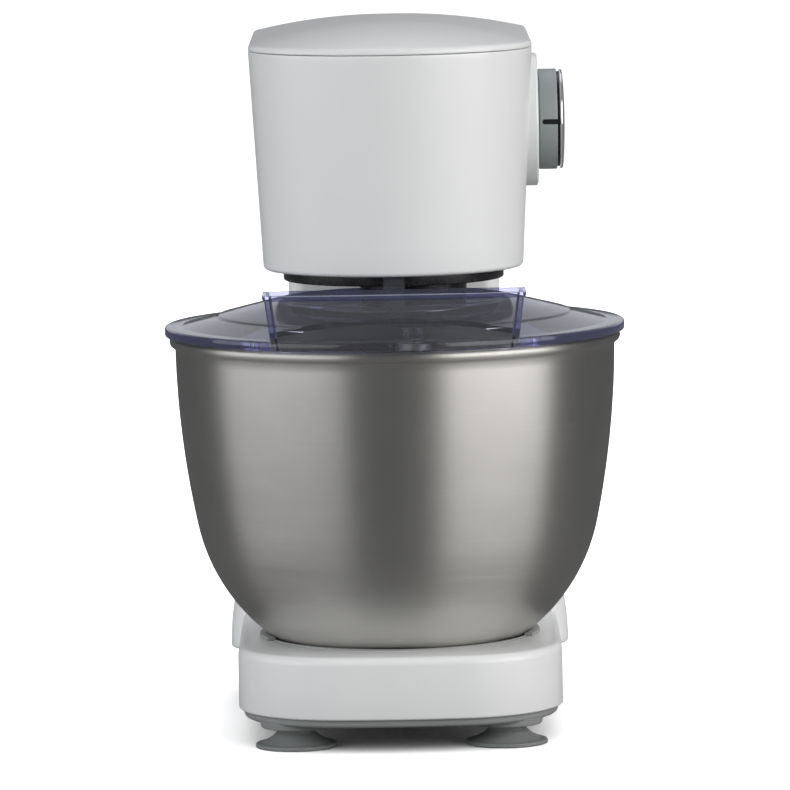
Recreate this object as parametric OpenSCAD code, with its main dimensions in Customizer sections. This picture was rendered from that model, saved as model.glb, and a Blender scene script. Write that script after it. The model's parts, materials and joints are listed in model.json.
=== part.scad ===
// Stand mixer with a tilting head, planetary drive, steel bowl and clear splash guard.
// Z is up and Z = 0 is the worktop; the front faces -Y. The bowl and the main shaft share one axis.

/* [Head] */
// Width of the head at its seam
head_w = 144; // [140:1:150]
// Height of the head's underside
head_bottom_z = 236; // [234:1:238]
// Height of the seam between head housing and top cover
seam_z = 347; // [344:1:350]
// Height of the crown at its peak
crown_z = 362; // [358:0.2:366]
// Distance from the main axis back to the rear of the head
head_rear = 190; // [186:1:196]
// Wall thickness of the plastic shells
wall = 3; // [2.5:0.1:3.5]

/* [Hinge] */
// Distance of the tilt hinge behind the main axis
hinge_y = 150; // [148:1:152]
// Height of the tilt hinge
hinge_z = 212; // [210:1:214]
// Diameter of the hinge pin
pin_d = 10; // [8:1:11]
// Radius of the rounded foot of the neck
neck_r = 30; // [28:0.5:30]

/* [Bowl] */
// Radius of the bowl wall just under its rim
bowl_r = 111.9; // [110:0.1:112]
// Height of the centre of the rolled rim
rim_z = 200; // [199:0.2:200]
// Height of the bowl's floor
bowl_floor_z = 42; // [42:0.2:43]
// Thickness of the bowl's sheet
sheet = 1; // [0.8:0.1:1.2]

/* [Base] */
// Half width of the platform
platform_hw = 82; // [80:0.5:82]
// Height of the platform's top
platform_z = 48.5; // [48:0.1:48.5]
// Half width of the column's foot
foot_hw = 87; // [86:0.5:90]
// Half width of the column under the hinge
column_hw = 56; // [56:0.5:58]

/* [Drive] */
// Distance between the main shaft and the tool shaft
orbit_r = 25; // [25:1:25]
// Direction of the tool shaft from the main shaft
orbit_a = 66.4; // [0:0.1:360]
// Teeth of the fixed ring gear
ring_teeth = 41; // [41:1:41]
// Teeth of the planet pinion
pinion_teeth = 16; // [16:1:16]
// Groove radius of the large pulley
big_pulley_r = 40; // [38:0.5:40]
// Groove radius of the motor pulley
small_pulley_r = 9; // [8:0.5:10]

/* [Hidden] */
$fn = 96;

axis_y = -36.5;                        // main axis in the part's own frame
draft = 0.054;                         // slope of the head's sides
rear_corner_r = 45;                    // plan radius of the head's rear corners, at the seam
crown_h = 12;                          // rise of the crown above its edge
neck_hw = 55.5;
shelf_z = 112;                         // top of the shelf inside the column
recess_r = 68.6;                       // round recess in the platform
recess_z = 34;
tray_top_z = 17;
pad_z = 10;                            // underside of the tray's foot pads
cup_r = 20.5;
cup_spots = [for (x = [-53, 53], y = [-63, 150]) [x, y]];
tray_spots = [[-66, 40], [66, 40], [-66, 98], [66, 98], [0, -84], [0, 165]];
column_spots = [for (x = [-1, 1]) each [[x * 73, 112], [x * 56, 168]]];
cover_spots = [for (x = [-40, 40], z = [62, 168]) [x, z]];
lid_spots = [for (x = [-58, 58], y = [70, 130]) [x, y]];
motor_y = 112;
gear_z = 240;
gear_module = 2;
plate_z = 250;                         // underside of the chassis plate
plate_t = 4;
belt_z = 308;
belt_w = 8;
tool_x = orbit_r * cos(orbit_a);
tool_y = orbit_r * sin(orbit_a);
knob_y = 32;
knob_z = 308;
knob_r = 25.7;
bezel_r = 34;
bezel_x = 75;                          // outer face of the bezel
guard_r = 117;
guard_z = 203;                         // underside of the guard's flange
guard_hooks = [90, 270];               // bayonet hooks that hold the guard to the head
bowl_side_r = 466;                     // long arc of the bowl wall
bowl_join_z = 105.5;                   // where the long arc meets the belly arc
bowl_belly_r = 95;
bowl_lean = asin((rim_z - bowl_join_z + 2) / bowl_side_r);
lever_x = 46;

// Moves a sub-part from the main axis into the part's own frame
module place() {
  translate([0, axis_y, 0]) children();
}

// Extrudes a (Y, Z) outline across X, centred
module across(width) {
  translate([-width / 2, 0, 0]) rotate([90, 0, 90]) linear_extrude(height = width) children();
}

// Extrudes an (X, Z) outline along Y, from y0 to y1
module along(y0, y1) {
  translate([0, y1, 0]) rotate([90, 0, 0]) linear_extrude(height = y1 - y0) children();
}

// Round bar along X
module bar_x(r, x0, x1) {
  translate([x0, 0, 0]) rotate([0, 90, 0]) cylinder(h = x1 - x0, r = r);
}

// Flat ring standing on z = 0
module ring(r_out, r_in, h) {
  difference() {
    cylinder(h = h, r = r_out);
    translate([0, 0, -1]) cylinder(h = h + 2, r = r_in);
  }
}

// Sector of a ring, from angle a0 to a1
module arc_block(r_in, r_out, h, a0, a1) {
  rotate([0, 0, a0]) rotate_extrude(angle = a1 - a0) translate([r_in, 0]) square([r_out - r_in, h]);
}

// Pan-head screw pointing up, with its head's underside at z = 0
module screw(shank_r, length, head_r, head_h) {
  cylinder(h = length, r = shank_r, $fn = 24);
  translate([0, 0, -head_h]) difference() {
    cylinder(h = head_h, r = head_r, $fn = 32);
    translate([0, 0, -0.01]) cylinder(h = head_h * 0.6, r = head_r * 0.45, $fn = 6);
  }
}

// ---- Outlines -------------------------------------------------------------------------------

function head_hw(z) = head_w / 2 - max(0, seam_z - z) * draft;

// Drafted body of the head between two heights: round nose, flat flanks, rounded rear corners
module head_form(z0, z1, inset) {
  r0 = head_hw(z0) - inset;
  r1 = head_hw(z1) - inset;
  corner_x = head_w / 2 - rear_corner_r;
  corner_y = head_rear - rear_corner_r;
  c0 = r0 - corner_x;
  c1 = r1 - corner_x;
  translate([0, 0, z0]) cylinder(h = z1 - z0, r1 = r0, r2 = r1);
  for (s = [-1, 1])
    translate([s * corner_x, corner_y, z0]) cylinder(h = z1 - z0, r1 = c0, r2 = c1);
  along(0, corner_y) polygon([[-r0, z0], [r0, z0], [r1, z1], [-r1, z1]]);
  across(2 * corner_x)
    polygon([[90, z0], [corner_y + c0, z0], [corner_y + c1, z1], [90, z1]]);
}

// Long dome whose top is the crown of the head: a ball over the nose, a ball over the rear
module crown_form(drop) {
  dome_r = (pow(head_w / 2, 2) + pow(crown_h, 2)) / (2 * crown_h);
  length = head_rear - head_w / 2;
  translate([0, 0, crown_z - dome_r]) {
    for (y = [0, length]) translate([0, y, 0]) sphere(r = dome_r - drop, $fn = 180);
    rotate([-90, 0, 0]) cylinder(h = length, r = dome_r - drop, $fn = 180);
  }
}

// Plan of the platform: shallow front arc, wide front corners, rounded rear corners
module platform_plan(inset) {
  front_y = -97;
  front_r = 300;
  corner_r = 55;
  rear_r = 40;
  corner_x = platform_hw - corner_r;
  front_c = front_y + front_r;
  corner_y = front_c - sqrt(pow(front_r - corner_r, 2) - corner_x * corner_x);
  rear_y = 186;
  spread = 1.3;
  for (s = [-1, 1]) {
    translate([s * corner_x, corner_y]) circle(r = corner_r - inset);
    translate([s * (platform_hw - rear_r), rear_y - rear_r]) circle(r = rear_r - inset);
  }
  translate([-platform_hw + inset, corner_y])
    square([2 * (platform_hw - inset), rear_y - rear_r - corner_y]);
  translate([-platform_hw + rear_r, 0]) square([2 * (platform_hw - rear_r), rear_y - inset]);
  intersection() {
    translate([0, front_c]) circle(r = front_r - inset, $fn = 128);
    polygon([[0, front_c],
             [-corner_x * spread, front_c + (corner_y - front_c) * spread],
             [corner_x * spread, front_c + (corner_y - front_c) * spread]]);
    translate([-60, -120]) square([120, 150]);
  }
}

// Side view of the column
module column_side(inset, foot_z) {
  top_z = rim_z - inset;
  polygon([[80 + inset, foot_z], [86 + inset, platform_z], [100 + inset, 75],
           [110 + inset, 105], [116 + inset, 150], [119 + inset, top_z],
           [186 - inset, top_z], [186 - inset, foot_z]]);
}

// Outside or inside form of the column: a broad foot that sweeps in to a narrow neck cradle
module column_form(inset, foot_z) {
  flare_r = 347;
  difference() {
    intersection() {
      translate([-foot_hw + inset, 70, foot_z]) cube([2 * (foot_hw - inset), 130, 200]);
      across(200) column_side(inset, foot_z);
    }
    for (s = [-1, 1])
      translate([s * (column_hw + flare_r), 60, rim_z]) rotate([-90, 0, 0])
        cylinder(h = 150, r = flare_r + inset, $fn = 180);
    // cradle, wider at the rear where the head's lower edge comes down
    translate([0, hinge_y + 1, hinge_z]) bar_x(neck_r + 2 + inset, -100, 100);
  }
}

// Half section of the bowl, filled to the axis: a long side arc that runs into the belly arc
module bowl_section(inset) {
  top_c = bowl_r - bowl_side_r;
  join_r = top_c + bowl_side_r * cos(bowl_lean);
  belly_x = join_r - bowl_belly_r * cos(bowl_lean);
  belly_z = bowl_join_z + bowl_belly_r * sin(bowl_lean);
  intersection() {
    translate([top_c, rim_z + 2]) circle(r = bowl_side_r - inset, $fn = 128);
    translate([0, bowl_join_z]) square([150, rim_z - bowl_join_z]);
  }
  intersection() {
    translate([belly_x, belly_z]) circle(r = bowl_belly_r - inset, $fn = 128);
    translate([0, bowl_floor_z + inset]) square([150, bowl_join_z - bowl_floor_z - inset]);
  }
}

// Gear outline with straight-sided teeth; a tooth is centred on +X
module gear_outline(teeth, root_r, pitch_r, tip_r, root_w, pitch_w, tip_w) {
  points = [for (i = [0 : teeth - 1])
    let (a = i * 360 / teeth)
    each [for (p = [[root_r, -root_w], [pitch_r, -pitch_w], [tip_r, -tip_w],
                    [tip_r, tip_w], [pitch_r, pitch_w], [root_r, root_w]])
      let (b = a + asin(p[1] / 2 / p[0])) [p[0] * cos(b), p[0] * sin(b)]]];
  polygon(points);
}

// ---- Base -----------------------------------------------------------------------------------

module base_platform() {
  color("white") place() {
    difference() {
      union() {
        difference() {
          translate([0, 0, tray_top_z]) linear_extrude(height = platform_z - tray_top_z)
            platform_plan(0);
          translate([0, 0, tray_top_z - 1])
            linear_extrude(height = platform_z - tray_top_z - wall + 1) platform_plan(wall);
        }
        translate([0, 0, recess_z - wall])
          cylinder(h = platform_z - recess_z + wall - 0.5, r = recess_r + 2.4);
        for (p = tray_spots)
          translate([p[0], p[1], tray_top_z + 2]) cylinder(h = platform_z - tray_top_z - 4, r = 4.6);
      }
      translate([0, 0, recess_z]) cylinder(h = 40, r = recess_r);
      for (p = tray_spots)
        translate([p[0], p[1], tray_top_z - 1]) cylinder(h = 21, r = 1.7, $fn = 24);
      for (a = [30, 150, 270])
        rotate([0, 0, a]) translate([30, 0, recess_z - 5]) cylinder(h = 9, r = 1.6, $fn = 24);
      for (p = column_spots)
        translate([p[0], p[1], 40]) cylinder(h = 12, r = 1.9, $fn = 24);
      translate([40, 190, 31]) rotate([90, 0, 0]) cylinder(h = 12, r = 6.1);
      translate([-20, 120, 40]) cube([40, 20, 12]);
    }
  }
}

module column_housing() {
  color("white") place() {
    difference() {
      union() {
        difference() {
          column_form(0, 33);
          column_form(wall, 40);
          translate([0, 0, 10]) linear_extrude(height = platform_z - 10) platform_plan(-0.25);
        }
        intersection() {
          column_form(0, 60);
          translate([-90, 60, shelf_z - wall]) cube([180, 140, wall]);
        }
        intersection() {
          column_form(0, 33);
          for (p = column_spots) translate([p[0], p[1], platform_z]) {
            cylinder(h = 18, r = 5);
            if (p[1] < 150) translate([p[0] > 0 ? 0 : -14, -1.5, 0]) cube([14, 3, 16]);
            else translate([-1.5, 0, 0]) cube([3, 18, 16]);
          }
        }
        for (p = cover_spots)
          translate([p[0], 184, p[1]]) rotate([90, 0, 0]) cylinder(h = 8, r = 4);
      }
      // rear opening behind its cover
      translate([-34, 175, 70]) cube([68, 20, 34]);
      translate([-34, 175, 116]) cube([68, 20, 46]);
      // slot for the hinge bracket and for the release lever
      translate([-40, 134, 170]) cube([80, 32, 20]);
      translate([50, 145, 138]) cube([20, 10, 22]);
      for (p = column_spots)
        translate([p[0], p[1], 40]) cylinder(h = 22, r = 1.5, $fn = 24);
      for (p = cover_spots)
        translate([p[0], 190, p[1]]) rotate([90, 0, 0]) cylinder(h = 12, r = 1.4, $fn = 24);
      for (x = [-20, 20], y = [138, 164])
        translate([x, y, shelf_z - 10]) cylinder(h = 14, r = 1.6, $fn = 24);
    }
  }
}

module column_back_cover() {
  color("white") place() {
    difference() {
      translate([-46, 186, 56]) cube([92, wall, 118]);
      for (p = cover_spots)
        translate([p[0], 192, p[1]]) rotate([90, 0, 0]) cylinder(h = 9, r = 1.7, $fn = 24);
      for (i = [0 : 5]) translate([-28, 180, 80 + i * 7]) cube([56, 12, 2.4]);
    }
  }
}

module back_cover_screws() {
  color("silver") place() {
    for (p = cover_spots)
      translate([p[0], 187.2, p[1]]) rotate([90, 0, 0]) translate([0, 0, -1.8])
        screw(1.35, 9.5, 2.8, 1);
  }
}

module base_tray() {
  color("dimgray") place() {
    difference() {
      union() {
        translate([0, 0, 14]) linear_extrude(height = 3) platform_plan(2);
        translate([0, 0, 16]) linear_extrude(height = 4) difference() {
          platform_plan(wall + 0.3);
          platform_plan(wall + 2.3);
        }
        for (p = cup_spots) translate([p[0], p[1], pad_z]) cylinder(h = 5, r = 18);
      }
      for (p = cup_spots) translate([p[0], p[1], 0]) cylinder(h = 30, r = 2.1, $fn = 24);
      for (p = tray_spots) {
        translate([p[0], p[1], 0]) cylinder(h = 30, r = 1.8, $fn = 24);
        translate([p[0], p[1], 10]) cylinder(h = 5.6, r = 3.6, $fn = 32);
      }
    }
  }
}

module tray_screws() {
  color("silver") place() {
    for (p = tray_spots) translate([p[0], p[1], 15.6]) screw(1.65, 20, 3.4, 1.6);
  }
}

module suction_cups() {
  color("gray") place() {
    for (p = cup_spots) translate([p[0], p[1], 0]) rotate_extrude()
      polygon([[14, 0.4], [17, 0], [cup_r, 0], [cup_r, 2], [12, 5.4], [9.5, pad_z],
               [2.1, pad_z], [2.1, 6.6], [4.4, 6.6], [4.4, 3.4], [10, 2.6]]);
  }
}

module cup_screws() {
  color("silver") place() {
    for (p = cup_spots) translate([p[0], p[1], 6.6]) screw(2, 12, 4.2, 2.4);
  }
}

module bowl_socket() {
  lug_a = 18;
  color("gray") place() {
    difference() {
      union() {
        translate([0, 0, recess_z]) cylinder(h = 3, r = recess_r - 0.2);
        translate([0, 0, recess_z]) ring(recess_r - 0.2, recess_r - 2, platform_z + 0.4 - recess_z);
        // low hooks that hold the bowl's foot
        for (a = [90, 210, 330]) {
          translate([0, 0, 40.6]) arc_block(50, recess_r - 1, 1.2, a - lug_a, a + lug_a);
          translate([0, 0, recess_z + 2]) arc_block(54.5, recess_r - 1, 5, a - lug_a, a + lug_a);
        }
        // side claws that show beside the bowl
        for (a = [0, 180])
          translate([0, 0, platform_z + 0.1]) arc_block(recess_r - 1, 71.6, 1.6, a - 20, a + 20);
      }
      for (a = [30, 150, 270])
        rotate([0, 0, a]) translate([30, 0, 30]) {
          cylinder(h = 9, r = 1.8, $fn = 24);
          translate([0, 0, 5.4]) cylinder(h = 4, r = 3.6, $fn = 32);
        }
    }
  }
}

module socket_screws() {
  color("silver") place() {
    for (a = [30, 150, 270])
      rotate([0, 0, a]) translate([30, 0, 35.5]) rotate([180, 0, 0]) screw(1.55, 5, 3.3, 1.3);
  }
}

module column_screws() {
  color("silver") place() {
    for (p = column_spots) translate([p[0], p[1], platform_z - wall]) screw(1.45, 15, 3.2, 1.8);
  }
}

module hinge_bracket() {
  color("silver") place() {
    difference() {
      union() {
        for (x = [-33, 33]) translate([x, 0, 0]) {
          across(8) {
            translate([hinge_y, hinge_z]) circle(r = 12);
            polygon([[hinge_y - 12, shelf_z], [hinge_y + 12, shelf_z],
                     [hinge_y + 11, hinge_z], [hinge_y - 11, hinge_z]]);
          }
        }
        translate([-39, 126, shelf_z]) cube([78, 48, 6]);
        translate([-32, 146, shelf_z + 2]) cube([64, 8, 40]);
      }
      translate([0, hinge_y, hinge_z]) bar_x(pin_d / 2, -50, 50);
      for (x = [-20, 20], y = [138, 164])
        translate([x, y, shelf_z - 2]) cylinder(h = 12, r = 1.8, $fn = 24);
    }
  }
}

module bracket_screws() {
  color("silver") place() {
    for (x = [-20, 20], y = [138, 164])
      translate([x, y, shelf_z + 6]) rotate([180, 0, 0]) screw(1.55, 14, 3.2, 2);
  }
}

module hinge_pin() {
  color("silver") place() translate([0, hinge_y, hinge_z]) difference() {
    bar_x(pin_d / 2, -49, 49);
    for (x = [-47.4, 46.2]) difference() {
      bar_x(pin_d, x, x + 1.2);
      bar_x(pin_d / 2 - 0.9, x - 1, x + 3);
    }
  }
}

module pin_clips() {
  color("silver") place() translate([0, hinge_y, hinge_z])
    for (x = [-47.3, 46.3]) difference() {
      bar_x(pin_d / 2 + 3, x, x + 1);
      bar_x(pin_d / 2 - 0.85, x - 1, x + 2);
      translate([x - 1, -2.6, -12]) cube([3, 5.2, 12]);
    }
}

module control_board() {
  color("darkgreen") place() {
    difference() {
      translate([-34, 104, 58]) cube([68, 46, 1.6]);
      for (x = [-30, 30], y = [108, 146])
        translate([x, y, 57]) cylinder(h = 4, r = 1.6, $fn = 24);
    }
    translate([-24, 112, 59.6]) cube([18, 14, 15]);
    translate([4, 112, 59.6]) cylinder(h = 20, r = 6);
    translate([12, 124, 59.6]) cube([14, 18, 12]);
    translate([-22, 132, 59.6]) cube([16, 3, 22]);
  }
}

module board_pillars() {
  color("gray") place() {
    for (x = [-30, 30], y = [108, 146]) translate([x, y, platform_z]) {
      cylinder(h = 58 - platform_z, r = 3.2);
      cylinder(h = 60.4 - platform_z, r = 1.5, $fn = 24);
    }
  }
}

module cable_gland() {
  color("dimgray") place() translate([40, 0, 31]) rotate([-90, 0, 0]) difference() {
    union() {
      translate([0, 0, 177]) cylinder(h = 12, r = 6);
      translate([0, 0, 186.1]) cylinder(h = 3.4, r = 8.5);
    }
    translate([0, 0, 170]) cylinder(h = 30, r = 3.4);
  }
}

module release_lever() {
  color("gray") place() {
    translate([lever_x, hinge_y, 128]) cylinder(h = 40, r = 3.5);
    translate([lever_x, hinge_y, 128]) cylinder(h = 2, r = 4.8);
    translate([lever_x - 4, hinge_y - 6, 168]) cube([8, 12, 8]);
    translate([lever_x, hinge_y - 4, 150]) cube([20, 8, 6]);
    translate([65, hinge_y - 11, 147]) cube([7, 22, 11]);
  }
}

module release_spring() {
  turns = 6;
  height = 128 - shelf_z;
  color("silver") place() translate([lever_x, hinge_y, shelf_z]) {
    linear_extrude(height = height, twist = -360 * turns, slices = turns * 12, $fn = 6)
      translate([3.6, 0]) circle(r = 0.7, $fn = 6);
  }
}

// ---- Head -----------------------------------------------------------------------------------

// Foot of the neck seen from the side
module neck_side(inset) {
  foot_r = neck_r - inset;
  translate([hinge_y - foot_r, hinge_z]) square([2 * foot_r, head_bottom_z + wall - hinge_z]);
  intersection() {
    translate([hinge_y, hinge_z]) circle(r = foot_r);
    translate([hinge_y - foot_r, hinge_z - foot_r]) square([2 * foot_r, foot_r + 1]);
  }
}

module head_housing() {
  boss_top = 335;
  color("white") place() {
    difference() {
      union() {
        difference() {
          head_form(head_bottom_z, seam_z, 0);
          head_form(head_bottom_z + wall, seam_z + 2, wall);
        }
        for (p = lid_spots)
          translate([p[0], p[1], head_bottom_z]) cylinder(h = boss_top - head_bottom_z, r = 4.8);
        across(2 * neck_hw) neck_side(0);
      }
      across(2 * (neck_hw - wall)) neck_side(wall);
      translate([-44, hinge_y - 40, hinge_z - 40]) cube([88, 80, 40]);
      // hole under the planet carrier and holes for the chassis screws
      translate([0, 0, head_bottom_z - 2]) cylinder(h = 6, r = 53.5);
      for (a = [45, 135, 225, 315])
        rotate([0, 0, a]) translate([58, 0, head_bottom_z + 0.5]) cylinder(h = 6, r = 1.9, $fn = 24);
      // hole for the knob bezel
      translate([0, knob_y, knob_z]) bar_x(bezel_r - 1, 50, 90);
      for (p = lid_spots) translate([p[0], p[1], 0]) {
        translate([0, 0, head_bottom_z - 2]) cylinder(h = 89, r = 3.3, $fn = 32);
        translate([0, 0, 320]) cylinder(h = 20, r = 1.7, $fn = 24);
      }
    }
  }
}

module head_top_cover() {
  color("white") place() {
    difference() {
      union() {
        difference() {
          intersection() {
            head_form(seam_z + 0.4, seam_z + 20, 0);
            crown_form(0);
          }
          intersection() {
            head_form(seam_z - 1, seam_z + 20, wall);
            crown_form(wall);
          }
        }
        for (p = lid_spots) translate([p[0], p[1], 335.2]) cylinder(h = 15, r = 4.4);
      }
      for (p = lid_spots) translate([p[0], p[1], 330]) cylinder(h = 17, r = 1.5, $fn = 24);
    }
  }
}

module top_cover_screws() {
  color("silver") place() {
    for (p = lid_spots) translate([p[0], p[1], 323]) screw(1.45, 22, 3.1, 2);
  }
}

module guard_collar() {
  color("black") place() {
    translate([0, 0, 230.5]) ring(56, 53.5, head_bottom_z - 230.5);
    for (a = guard_hooks) translate([0, 0, 231.8]) arc_block(55, 58.6, 1.6, a - 8, a + 8);
  }
}

module head_chassis() {
  top_z = plate_z + plate_t;
  color("silver") place() {
    difference() {
      union() {
        translate([0, 0, head_bottom_z + wall]) cylinder(h = 4, r = 62);
        translate([0, 0, head_bottom_z + wall]) cylinder(h = plate_z - head_bottom_z - wall, r = 50);
        translate([0, 0, plate_z]) cylinder(h = plate_t, r = 50);
        translate([-50, 0, plate_z]) cube([100, 165, plate_t]);
        translate([0, 0, top_z - 1]) cylinder(h = 47, r = 18);
        for (s = [-1, 1]) {
          translate([s * 43, 0, 0]) across(6) {
            translate([hinge_y, hinge_z]) circle(r = 12);
            translate([hinge_y - 11, hinge_z]) square([22, plate_z + 1 - hinge_z]);
          }
          translate([s * 32 - 1.5, 14, top_z - 1]) cube([3, 55, 12]);
        }
      }
      translate([0, 0, head_bottom_z]) cylinder(h = plate_z - head_bottom_z, r = 46.5);
      translate([0, 0, plate_z - 1]) cylinder(h = 60, r = 14);
      translate([0, motor_y, plate_z - 1]) cylinder(h = plate_t + 2, r = 33);
      translate([0, hinge_y, hinge_z]) bar_x(7, -60, 60);
      for (a = [45, 135, 225, 315])
        rotate([0, 0, a]) translate([58, 0, head_bottom_z]) cylinder(h = 9, r = 2, $fn = 24);
    }
  }
}

module chassis_screws() {
  color("silver") place() {
    for (a = [45, 135, 225, 315])
      rotate([0, 0, a]) translate([58, 0, head_bottom_z + wall + 4]) rotate([180, 0, 0])
        screw(1.8, 6, 3.6, 2.2);
  }
}

module hinge_bushes() {
  color("goldenrod") place() translate([0, hinge_y, hinge_z])
    for (x = [-46, 40]) difference() {
      bar_x(6.98, x, x + 6);
      bar_x(pin_d / 2 + 0.05, x - 1, x + 7);
    }
}

module ring_gear() {
  pitch_r = gear_module * ring_teeth / 2;
  color("lightgray") place() translate([0, 0, gear_z]) rotate([0, 0, orbit_a])
    linear_extrude(height = 9.8) difference() {
      circle(r = 46.48);
      gear_outline(ring_teeth, pitch_r - 1.6, pitch_r, pitch_r + 2.2, 4.3, 3.55, 2.3);
    }
}

module main_bearings() {
  color("silver") place() {
    for (z = [256, 288]) translate([0, 0, z]) difference() {
      ring(13.98, 6.02, 8);
      translate([0, 0, 7.2]) ring(11.5, 8.5, 2);
      translate([0, 0, -1.2]) ring(11.5, 8.5, 2);
    }
  }
}

module motor_frame() {
  color("silver") place() translate([0, motor_y, 0]) {
    difference() {
      union() {
        for (z = [plate_z + plate_t, 300])
          translate([0, 0, z]) linear_extrude(height = 3) {
            for (a = [45, 135]) rotate([0, 0, a]) square([82, 10], center = true);
            circle(r = 10);
          }
        for (a = [45 : 90 : 315])
          rotate([0, 0, a]) translate([37.6, 0, 256]) cylinder(h = 45, r = 2.6, $fn = 32);
      }
      translate([0, 0, 240]) cylinder(h = 80, r = 4.06);
    }
  }
}

module motor_stator() {
  color("dimgray") place() translate([0, motor_y, 265]) difference() {
    cylinder(h = 26, r = 34);
    translate([0, 0, -1]) cylinder(h = 28, r = 21);
    for (a = [0, 180]) rotate([0, 0, a]) translate([23, -9, -1]) cube([6, 18, 28]);
  }
}

module motor_windings() {
  color("peru") place() translate([0, motor_y, 0]) {
    for (z = [258.5, 291]) translate([0, 0, z]) ring(30, 22.5, 6.5);
    for (a = [0, 180]) rotate([0, 0, a]) translate([23.3, -8.7, 260]) cube([5.4, 17.4, 36]);
  }
}

// Loop around both pulleys with the given radii, drawn from its tangent points
module belt_loop(r1, r2) {
  a = acos((r1 - r2) / motor_y);
  circle(r = r1);
  translate([0, motor_y]) circle(r = r2);
  polygon([[r1 * sin(a), r1 * cos(a)], [r2 * sin(a), motor_y + r2 * cos(a)],
           [-r2 * sin(a), motor_y + r2 * cos(a)], [-r1 * sin(a), r1 * cos(a)]]);
}

module drive_belt() {
  color("black") place() translate([0, 0, belt_z]) linear_extrude(height = belt_w) difference() {
    belt_loop(big_pulley_r + 1.6, small_pulley_r + 1.6);
    belt_loop(big_pulley_r + 0.15, small_pulley_r + 0.15);
  }
}

module knob_bezel() {
  color("white") place() difference() {
    union() {
      difference() {
        translate([0, knob_y, knob_z]) bar_x(bezel_r, 64, bezel_x);
        head_form(head_bottom_z, seam_z, -0.05);
      }
      translate([0, knob_y, knob_z]) bar_x(bezel_r - 1.3, 64, bezel_x);
    }
    translate([0, knob_y, knob_z]) bar_x(4.6, 60, 80);
    translate([0, knob_y, knob_z]) bar_x(28, 60, 72);
    translate([0, knob_y, knob_z]) difference() {
      bar_x(26.6, 74, 76);
      bar_x(20, 73, 77);
    }
  }
}

module switch_body() {
  color("dimgray") place() {
    difference() {
      union() {
        translate([47, knob_y - 12, knob_z - 12]) cube([18, 24, 24]);
        translate([0, knob_y, knob_z]) bar_x(9, 64, 72);
      }
      translate([0, knob_y, knob_z]) bar_x(4.1, 52, 80);
    }
  }
}

// ---- Planetary drive ------------------------------------------------------------------------

module main_shaft() {
  color("silver") place() {
    translate([0, 0, 231]) cylinder(h = 91, r = 6);
    translate([0, 0, 322]) cylinder(h = 1, r1 = 6, r2 = 5);
  }
}

module large_pulley() {
  color("whitesmoke") place() translate([0, 0, belt_z - 2]) difference() {
    union() {
      cylinder(h = belt_w + 4, r = big_pulley_r);
      cylinder(h = 1.6, r = big_pulley_r + 2.4);
      translate([0, 0, belt_w + 2.4]) cylinder(h = 1.6, r = big_pulley_r + 2.4);
    }
    translate([0, 0, -1]) cylinder(h = 20, r = 6);
    for (a = [0 : 60 : 300])
      rotate([0, 0, a]) translate([23.5, 0, -1]) cylinder(h = 20, r = 8.5, $fn = 48);
  }
}

module planet_carrier() {
  color("black") place() difference() {
    union() {
      translate([0, 0, 231]) cylinder(h = 4, r = 52.8);
      translate([0, 0, 234]) cylinder(h = 5.6, r = 12);
      translate([tool_x, tool_y, 205]) cylinder(h = 27, r = 27.25);
    }
    translate([0, 0, 230]) cylinder(h = 12, r = 6);
    translate([tool_x, tool_y, 204]) cylinder(h = 25, r = 11);
    translate([tool_x, tool_y, 220]) cylinder(h = 30, r = 4.6);
  }
}

module tool_bearings() {
  color("silver") place() {
    for (z = [207.5, 222]) translate([tool_x, tool_y, z]) difference() {
      ring(10.98, 4.02, 7);
      translate([0, 0, 6.3]) ring(9, 6.2, 2);
      translate([0, 0, -1.3]) ring(9, 6.2, 2);
    }
  }
}

module tool_shaft() {
  color("silver") place() translate([tool_x, tool_y, 0]) difference() {
    union() {
      translate([0, 0, 160]) cylinder(h = 46, r = 6);
      translate([0, 0, 205]) cylinder(h = 44.6, r = 4);
      translate([0, 0, 159]) cylinder(h = 1, r1 = 5, r2 = 6);
    }
    translate([0, 0, 190]) bar_x(2, -10, 10);
  }
}

module planet_pinion() {
  pitch_r = gear_module * pinion_teeth / 2;
  color("silver") place() translate([tool_x, tool_y, gear_z + 0.5]) rotate([0, 0, orbit_a])
    linear_extrude(height = 9) difference() {
      gear_outline(pinion_teeth, pitch_r - 2.1, pitch_r, pitch_r + 1.6, 3.9, 2.75, 1.2);
      circle(r = 4);
    }
}

module cross_pin() {
  color("silver") place() translate([tool_x, tool_y, 190]) bar_x(2, -9.5, 9.5);
}

module flat_beater() {
  color("silver") place() translate([tool_x, tool_y, 0]) difference() {
    union() {
      along(-3.5, 3.5) difference() {
        polygon([[-20, 50], [20, 50], [34, 60], [42, 80], [42, 105], [30, 130], [10, 156],
                 [-10, 156], [-30, 130], [-42, 105], [-42, 80], [-34, 60]]);
        for (s = [-1, 1]) {
          polygon([[s * 3.5, 58], [s * 18, 58], [s * 28.5, 65], [s * 35, 80], [s * 35, 90],
                   [s * 3.5, 74]]);
          polygon([[s * 3.5, 81], [s * 35, 97], [s * 35, 103], [s * 25, 124], [s * 8, 146],
                   [s * 3.5, 146]]);
        }
      }
      translate([0, 0, 146]) cylinder(h = 49, r = 9.5);
    }
    translate([0, 0, 157]) cylinder(h = 60, r = 6.1);
    translate([-12, -2.2, 187.8]) cube([24, 4.4, 12]);
  }
}

module motor_armature() {
  color("dimgray") place() translate([0, motor_y, 0]) {
    translate([0, 0, 240.5]) cylinder(h = 82, r = 4);
    translate([0, 0, 265]) cylinder(h = 26, r = 20.2);
    translate([0, 0, 259]) cylinder(h = 6.5, r1 = 12, r2 = 18);
    translate([0, 0, 290.5]) cylinder(h = 3, r1 = 18, r2 = 11);
    translate([0, 0, 293]) cylinder(h = 5, r = 10);
  }
}

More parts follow.
